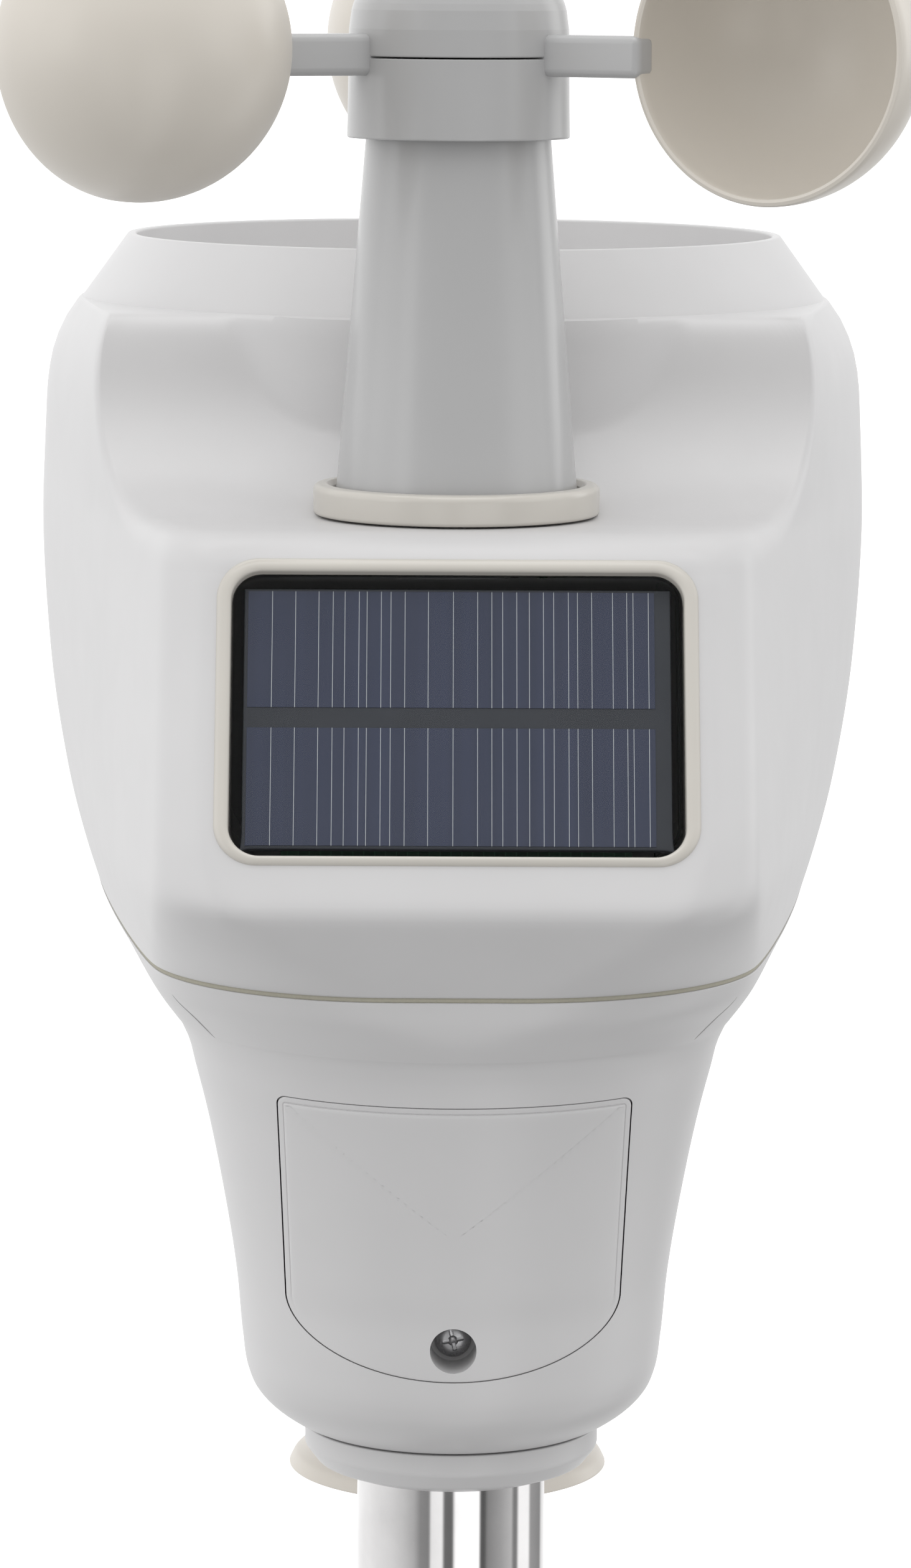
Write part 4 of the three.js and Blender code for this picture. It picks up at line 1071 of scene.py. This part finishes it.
def seam_gasket():
    """Foam strip squeezed between the two shells, a little inside their faces."""
    columns = 288
    heights = [SEAM_LOW + 0.02, SEAM_HIGH - 0.02]
    rows = []
    for inset, z in ((0.4, heights[0]), (0.3, sum(heights) / 2), (0.4, heights[1]), (2.0, heights[1]),
                     (2.0, heights[0])):
        shape = outline(-56.0, 56, 45.3, 70.9, inset, columns)
        rows.append(np.column_stack([shape, np.full(columns, z)]))
    faces = grid_faces(5, columns)
    faces += [(4 * columns + k, 4 * columns + (k + 1) % columns, (k + 1) % columns, k)
              for k in range(columns)]
    seal = make_mesh("seam_gasket", np.concatenate(rows), faces)
    finish_piece(seal, "station", MATERIALS["seam_seal"], ["shell_seal"])


# ---------------------------------------------------------------- mast and wind cups
def mast_pieces():
    low, high = node_box("mast_post")
    base, tip, wall = high.x, 16.6, 2.4
    foot = low.z
    mast = turned("mast_tube", [(base, foot), (base, LEDGE + 1), (tip, MAST_TOP, 0.6),
                                  (tip - wall, MAST_TOP, 0.4),
                                (base - wall, foot)], segments=160)
    finish_piece(mast, "station", MATERIALS["mast_grey"], ["mast_post"])
    low, high = node_box("mast_ring")
    inner, edge = 22.75, high.x
    ring = turned("mast_foot_ring", [(inner, low.z), (edge - 0.9, low.z, 0.8),
                                     (edge - 0.8, high.z - 0.2, 2.4),
                                     (inner + 0.9, high.z, 0.7), (inner, high.z - 0.9, 0.4)],
                  segments=160, steps=8)
    finish_piece(ring, "station", MATERIALS["warm_trim"], ["mast_ring"])


def rotor_pieces():
    """Hub skirt with three arms, its domed cap and the three hemispherical cups."""
    radius, wall = 20.2, 2.0
    hub = turned("rotor_hub_skirt", [(radius, HUB_BOTTOM, 0.4), (radius - 0.25, HUB_SPLIT - 0.15, 0.25),
                                     (4.5, HUB_SPLIT - 0.15), (4.5, HUB_SPLIT - 3.5),
                                     (radius - wall, HUB_SPLIT - 3.5, 1.0), (radius - wall, HUB_BOTTOM, 0.3)],
                 segments=144)
    arms = []
    for angle in CUP_ANGLES:
        arm = arm_piece()
        move_points(arm, Matrix.Rotation(math.radians(angle), 4, "Z"))
        arms.append(arm)
    cut(hub, arms, "UNION")
    finish_piece(hub, "rotor", MATERIALS["mast_grey"], ["rotor_hub"], angle=35)
    cap_profile = [(0, CAP_TOP)]
    for k in range(1, 17):
        angle = math.radians(90 * k / 18)
        height = HUB_SPLIT + 6 + (CAP_TOP - HUB_SPLIT - 6) * math.cos(angle)
        cap_profile.append((19.7 * math.sin(angle) ** 0.92, height))
    cap_profile += [(19.9, HUB_SPLIT + 5.0), (20.0, HUB_SPLIT + 0.15), (17.9, HUB_SPLIT + 0.15),
                    (17.2, HUB_SPLIT + 8), (0, HUB_SPLIT + 9)]
    cap = turned("rotor_cap_dome", cap_profile, segments=144, closed=False, default=0.4)
    finish_piece(cap, "rotor", MATERIALS["mast_grey"], ["rotor_cap"], angle=35)
    for index, angle in enumerate(CUP_ANGLES, start=1):
        cup = wind_cup(f"wind_cup_shell_{index}")
        move_points(cup, Matrix.Rotation(math.radians(angle), 4, "Z"))
        finish_piece(cup, "rotor", MATERIALS["cup_cream"], [f"wind_cup_{index}"], angle=35)


def arm_piece():
    """Flat arm with rounded long edges, from the hub's wall to the cup."""
    z0, z1 = 258.0, 265.5
    start, end = 15.0, CUP_ORBIT - CUP_RADIUS + 2
    arm = rounded_box("arm", (end - start, 6.0, z1 - z0), ((start + end) / 2, 0, (z0 + z1) / 2), 1.5, 4)
    return arm


def wind_cup(name):
    """Thin hemisphere with a rolled rim, opening sideways."""
    inner = CUP_RADIUS - CUP_WALL
    profile = []
    for k in range(31):
        angle = math.radians(90 * k / 30)
        profile.append((CUP_RADIUS * math.sin(angle), -CUP_RADIUS * math.cos(angle)))
    profile += [(CUP_RADIUS, 1.2), (CUP_RADIUS - 0.25, 1.75), (CUP_RADIUS - 0.8, 1.95),
                (inner + 0.2, 1.75), (inner, 1.2)]
    for k in range(30, -1, -1):
        angle = math.radians(90 * k / 30)
        profile.append((inner * math.sin(angle), -inner * math.cos(angle)))
    cup = turned(name, profile, segments=144, closed=False, default=0)
    move_points(cup, Matrix.Translation((CUP_ORBIT, 0, CUP_HEIGHT)) @ Matrix.Rotation(math.pi / 2, 4, "X"))
    return cup


# ---------------------------------------------------------------- rain collector
def rain_collector():
    profile = [(64.4, 224.7, 0.5), (72.9, 213.0, 5), (75.1, 209.8, 1.5), (75.1, 207.2, 0.4),
               (73.4, 207.2, 0.4), (65.2, 221, 2),
               (62.9, 203.5, 2), (60.9, 200.6, 1), (6.6, 174.2, 2), (6.6, 163, 0.4), (4.6, 163, 0.4),
               (4.6, 175.5, 2), (59.8, 202.3, 2.5), (61.3, 205, 2), (62.8, 224.7, 0.6)]
    funnel = turned("rain_funnel", profile, at=(0, REAR_Y), segments=192, steps=5)
    finish_piece(funnel, "collector", MATERIALS["housing"], ["rain_collector"])


# ---------------------------------------------------------------- solar window
def bezel_outline(margin):
    """Glass outline grown by a margin that is narrower along the lower edge."""
    half, up = WINDOW_WIDTH / 2, WINDOW_HEIGHT / 2
    lower = margin * 0.65
    corner = WINDOW_CORNER + margin * 0.8
    return rounded_rectangle(-half - margin, half + margin, -up - lower, up + margin, corner, steps=14)


def solar_bezel():
    """Soft raised lip round the solar window; its warm beige is painted reflection and shade."""
    steps = [(0.1, -2.0), (0.12, 0.25), (0.3, 0.62), (0.65, 0.86), (1.1, 0.9), (1.6, 0.84), (2.1, 0.66),
             (2.45, 0.42), (2.7, 0.12), (2.78, -0.25), (2.6, -0.6), (2.1, -2.0)]
    rows = [[(x, y, z) for x, y in bezel_outline(margin)] for margin, z in steps]
    columns = len(rows[0])
    faces = grid_faces(len(rows), columns)
    last = (len(rows) - 1) * columns
    faces += [(last + k, last + (k + 1) % columns, (k + 1) % columns, k) for k in range(columns)]
    bezel = make_mesh("solar_window_bezel", [point for row in rows for point in row], faces)
    move_points(bezel, FACE_FRAME)
    # The beige from warm_trim on this lip is painted reflection and shade, not a colour of its own.
    finish_piece(bezel, "station", MATERIALS["warm_trim"], ["solar_bezel"], angle=50)


def solar_cover():
    """Thick clear cover with a broad rounded edge."""
    half, up = WINDOW_WIDTH / 2, WINDOW_HEIGHT / 2
    steps = [(0.3, -2.2), (0.0, -1.9), (0.0, -0.7), (0.25, -0.15), (0.75, 0.2), (1.4, 0.38), (2.1, 0.42)]
    rows = []
    for inset, z in steps:
        corner = max(WINDOW_CORNER - inset, 1.5)
        plan = rounded_rectangle(inset - half, half - inset, inset - up, up - inset, corner, steps=14)
        rows.append([(x, y, z) for x, y in plan])
    columns = len(rows[0])
    faces = grid_faces(len(rows), columns)
    faces.append(tuple(range(columns)))
    faces.append(tuple((len(rows) - 1) * columns + k for k in range(columns)))
    cover = make_mesh("solar_window_cover", [point for row in rows for point in row], faces)
    move_points(cover, FACE_FRAME)
    cover.visible_shadow = False
    cover.visible_diffuse = False
    cover.visible_glossy = False
    finish_piece(cover, "station", MATERIALS["solar_glass"], ["solar_cover"], angle=50)


CELL_STRIPS = (4.3, 4.1, 4.1, 2.5, 2.1, 2.5, 1.4, 2.5, 1.7, 2.5, 4.1, 4.4, 4.3, 2.5, 1.9, 2.5, 2.2, 2.5, 1.8,
               2.6,
               1.6, 2.5, 3.7, 2.5, 1.1, 2.7, 1.1)


def solar_panel():
    """Board with two rows of dark cell strips parted by fine silver lines."""
    low, top = -3.7, -2.62
    board = rounded_box("solar_board", (75.2, 48.3, top - low), (0, 0, (low + top) / 2), 0.35, 2)
    move_points(board, FACE_FRAME)
    finish_piece(board, "station", MATERIALS["board_black"], ["solar_panel"])
    strips, lines = [], []
    rows = ((-23.6, -1.9), (1.9, 23.6))
    left = -36.9
    line = 0.09
    for bottom, high in rows:
        x = left
        for index, width in enumerate(CELL_STRIPS):
            strips.append((x, x + width - line, bottom, high))
            if index < len(CELL_STRIPS) - 1:
                lines.append((x + width - line, x + width, bottom, high))
            x += width
    for name, plates, material, height in (("solar_cell_strips", strips, "solar_cells", 0.10),
                                           ("solar_cell_lines", lines, "silver_line", 0.12)):
        points, faces = [], []
        for x0, x1, y0, y1 in plates:
            start = len(points)
            points += [(x, y, z) for z in (top - 0.05, top + height) for x, y in
                       ((x0, y0), (x1, y0), (x1, y1), (x0, y1))]
            faces += [tuple(start + k for k in face) for face in
                      ((0, 3, 2, 1), (4, 5, 6, 7), (0, 1, 5, 4), (1, 2, 6, 5), (2, 3, 7, 6), (3, 0, 4, 7))]
        piece = make_mesh(name, points, faces, smooth=False)
        move_points(piece, FACE_FRAME)
        finish_piece(piece, "station", MATERIALS[material], [], angle=20)


def board_black(name):
    nodes = Nodes(name)
    set_shader(nodes, IOR=1.5)
    cloud = nodes.noise(160, 4)
    nodes.link(nodes.mix(cloud, (0.012, 0.014, 0.018, 1), (0.026, 0.029, 0.036, 1)),
               nodes.shader.inputs["Base Color"])
    nodes.link(nodes.spread(cloud, 0.3, 0.7, 0.5, 0.6), nodes.shader.inputs["Roughness"])
    return nodes.material


MATERIALS["board_black"] = board_black("solar_board_black")
MATERIALS["silver_line"] = plain_metal("silver_print", (0.62, 0.64, 0.64), 0.5)


# ---------------------------------------------------------------- radiation shield and wind vane
ROD_ORBIT = 20.0
ROD_PLACES = [(ROD_ORBIT * math.cos(math.radians(angle)), REAR_Y + ROD_ORBIT * math.sin(math.radians(angle)))
              for angle in (90, 210, 330)]
SHIELD_TOP = 85.7


def upright(name, radius, low, high, at, segments=40):
    return turned(name, [(0, low), (radius, low), (radius, high), (0, high)], at=at, segments=segments,
                  closed=False, default=0)


def with_posts(piece, low, high):
    """Adds the three posts that the shield's bolts run down, and their bores."""
    cut(piece, [upright("post", 3.2, low, high, at) for at in ROD_PLACES], "UNION")
    cut(piece, [upright("bore", 1.8, low - 12, high + 5, at) for at in ROD_PLACES])


def shield_pieces():
    """Stacked louvre plates under the rain gauge, and the bolts through them."""
    above = SHIELD_TOP
    for index in range(1, 7):
        low, high = node_box(f"shield_plate_{index}")
        base, edge = low.z + 6.9, high.x
        profile = [(15, base), (23.8, base, 3), (33.2, base - 6, 3), (edge - 0.2, base - 6.9, 0.5),
                   (edge, base - 5.5, 0.6), (24.6, base + 1.5, 4), (15, base + 1.5)]
        plate = turned(f"shield_louvre_{index}", profile, at=(0, REAR_Y), segments=144, steps=5)
        with_posts(plate, base + 0.5, above)
        above = base - 0.3
        finish_piece(plate, "station", MATERIALS["housing"], [f"shield_plate_{index}"], angle=35)
    for index, at in enumerate(ROD_PLACES, start=1):
        low, high = node_box(f"shield_screw_{index}")
        bolt = turned(f"shield_bolt_{index}", [(0, low.z), (2.8, low.z, 0.9), (2.8, low.z + 2.2, 0.15),
                                               (1.35, low.z + 2.2), (1.35, high.z, 0.4), (0, high.z)],
                      at=at, segments=48, closed=False, default=0)
        cross = [rounded_box("cross", (3.4, 0.7, 1.6), (0, 0, 0), 0.15, 2) for _ in range(2)]
        for slot, turn in zip(cross, (20, 110)):
            spin = Matrix.Rotation(math.radians(turn), 4, "Z")
            move_points(slot, Matrix.Translation((at[0], at[1], low.z)) @ spin)
        cut(bolt, cross)
        finish_piece(bolt, "station", MATERIALS["screw_steel"], [f"shield_screw_{index}"],
                     angle=30)


def vane_housing_pieces():
    """Bell under the shield that holds the vane's bearing and sensor."""
    low, high = node_box("vane_housing")
    rim = node_box("shield_plate_6")[0].z + 6.6 - 5.2
    edge = high.x
    profile = [(4.4, low.z), (13, low.z, 0.8), (13, low.z + 16.6, 1.5), (27, low.z + 16.6, 3),
               (edge, low.z + 18.6, 2),
               (edge, rim, 0.5), (edge - 1.6, rim, 0.4), (26.4, low.z + 18.8, 1.5), (4.4, low.z + 18.8, 0.4)]
    bell = turned("vane_bell", profile, at=(0, REAR_Y), segments=144, steps=6)
    with_posts(bell, low.z + 18, high.z)
    finish_piece(bell, "station", MATERIALS["housing"], ["vane_housing"], angle=35)


def soft_plate(name, shape, half, edge):
    """Flat plate in the YZ plane with rounded long edges, from an anticlockwise (y, z) outline."""
    steps = [(edge, -half), (edge * 0.3, -half + edge * 0.3), (0, -half + edge), (0, half - edge),
             (edge * 0.3, half - edge * 0.3), (edge, half)]
    rows = [[(x, y, z) for y, z in inset_outline(shape, inset)] for inset, x in steps]
    columns = len(shape)
    faces = grid_faces(len(rows), columns)
    faces.append(tuple(range(columns)))
    faces.append(tuple((len(rows) - 1) * columns + k for k in range(columns)))
    return make_mesh(name, [point for row in rows for point in row], faces)


def vane_pieces():
    """Umbrella hub, tail fin and pointed nose of the wind vane."""
    low, high = node_box("vane_hub")
    top, rim, edge = high.z, VANE_RIM_Z, high.x
    hub = turned("vane_umbrella", [(2.1, top), (15, top, 1.5), (17.5, top - 0.8, 2),
                                   (edge - 1.2, rim + 2.6, 3),
                                   (edge, rim + 0.1, 0.4), (edge - 1.6, rim, 0.4), (15.6, top - 2.6, 3),
                                   (9, top - 2.6, 1), (9, low.z, 1.6), (2.1, low.z, 0.3)],
                 at=(0, REAR_Y), segments=144, steps=6)
    finish_piece(hub, "vane", MATERIALS["cup_cream"], ["vane_hub"], angle=35)
    corners = [(9.4, -39.3, 0.5), (44, -50, 14), (61, -68.6, 3), (67.8, -65.8, 2.5), (71.8, -29, 2.5),
               (69.8, -24.2, 2.5), (30, -27.8, 12), (9.4, -28.2, 0.5)]
    shape = [(REAR_Y + y, z) for y, z in rounded(corners, steps=8)]
    tail = soft_plate("vane_tail_fin", shape, 1.2, 0.7)
    finish_piece(tail, "vane", MATERIALS["cup_cream"], ["vane_tail"], angle=50)
    low, high = node_box("vane_nose")
    length = high.y - low.y
    nose = turned("vane_nose_bob", [(0, 0), (2.6, 0.9, 2), (4.2, 7.5, 7), (3.4, 22, 9), (3.1, 34, 6),
                                    (3.4, length, 0.2),
                                    (0, length)], segments=72, closed=False, default=0, steps=8)
    middle = Matrix.Translation((0, low.y, (low.z + high.z) / 2))
    move_points(nose, middle @ Matrix.Rotation(-math.pi / 2, 4, "X"))
    finish_piece(nose, "vane", MATERIALS["cup_cream"], ["vane_nose"], angle=35)


def leaf_guard():
    """Cage that keeps leaves out of the rain funnel's outlet."""
    low, high = node_box("debris_filter")
    guard = turned("leaf_guard_cage", [(9.4, low.z), (11, low.z), (11, low.z + 4.6), (9.4, low.z + 4.6)],
                   at=(0, REAR_Y), segments=72, default=0.35)
    grip = turned("grip", [(2, high.z - 4.4), (3.4, high.z - 4.4), (3.4, high.z), (2, high.z)],
                  at=(0, REAR_Y),
                  segments=48, default=0.4)
    ribs = []
    for angle in (0, 60, 120):
        rib = rounded_box("rib", (19.6, 1.2, 3.2), (0, 0, low.z + 5.0), 0.35, 2)
        move_points(rib, Matrix.Translation((0, REAR_Y, 0)) @ Matrix.Rotation(math.radians(angle), 4, "Z"))
        ribs.append(rib)
    cut(guard, ribs + [grip], "UNION")
    finish_piece(guard, "filter", MATERIALS["inner_plastic"], ["debris_filter"], angle=30)


def end_cap_and_collar_screw():
    low, high = node_box("pole_end_cap")
    inner = POLE_RADIUS - 1.5
    cap = turned("pole_foot_cap", [(0, low.z), (POLE_RADIUS, low.z, 1.1), (POLE_RADIUS, low.z + 2.7, 0.3),
                                   (inner - 0.1, low.z + 2.7, 0.1), (inner, high.z, 0.8), (0, high.z)],
                 segments=128, closed=False, default=0, steps=6)
    finish_piece(cap, "station", MATERIALS["black_rubber"], ["pole_end_cap"], angle=35)
    low, high = node_box("collar_screw")
    radius, middle = (high.z - low.z) / 2, (high.z + low.z) / 2
    length = high.y - low.y
    screw = turned("collar_grub_screw", [(0, 0), (radius - 0.6, 0), (radius, 0.6), (radius, length, 0.35),
                                        (0, length)],
                   segments=48, closed=False, default=0)
    socket = turned("socket", [(0, length - 2), (1.2, length - 2), (1.2, length + 1), (0, length + 1)],
                    segments=6,
                    closed=False, default=0)
    cut(screw, [socket])
    place = Matrix.Translation((0, low.y, middle)) @ Matrix.Rotation(-math.pi / 2, 4, "X")
    move_points(screw, place)
    finish_piece(screw, "station", MATERIALS["screw_steel"], ["collar_screw"], angle=30)


# ---------------------------------------------------------------- build
upper_shell()
lower_shell()
door_rebate()
battery_door()
door_screw()
pole_pieces()
seam_gasket()
mast_pieces()
rotor_pieces()
rain_collector()
solar_bezel()
solar_cover()
solar_panel()

shield_pieces()
vane_housing_pieces()
vane_pieces()
leaf_guard()
end_cap_and_collar_screw()

for subpart in frame["record"]["subparts"]:
    piece = frame["nodes"][subpart["node"]]
    piece.data.materials.clear()
    piece.data.materials.append(MATERIALS[subpart["material_slot"]])
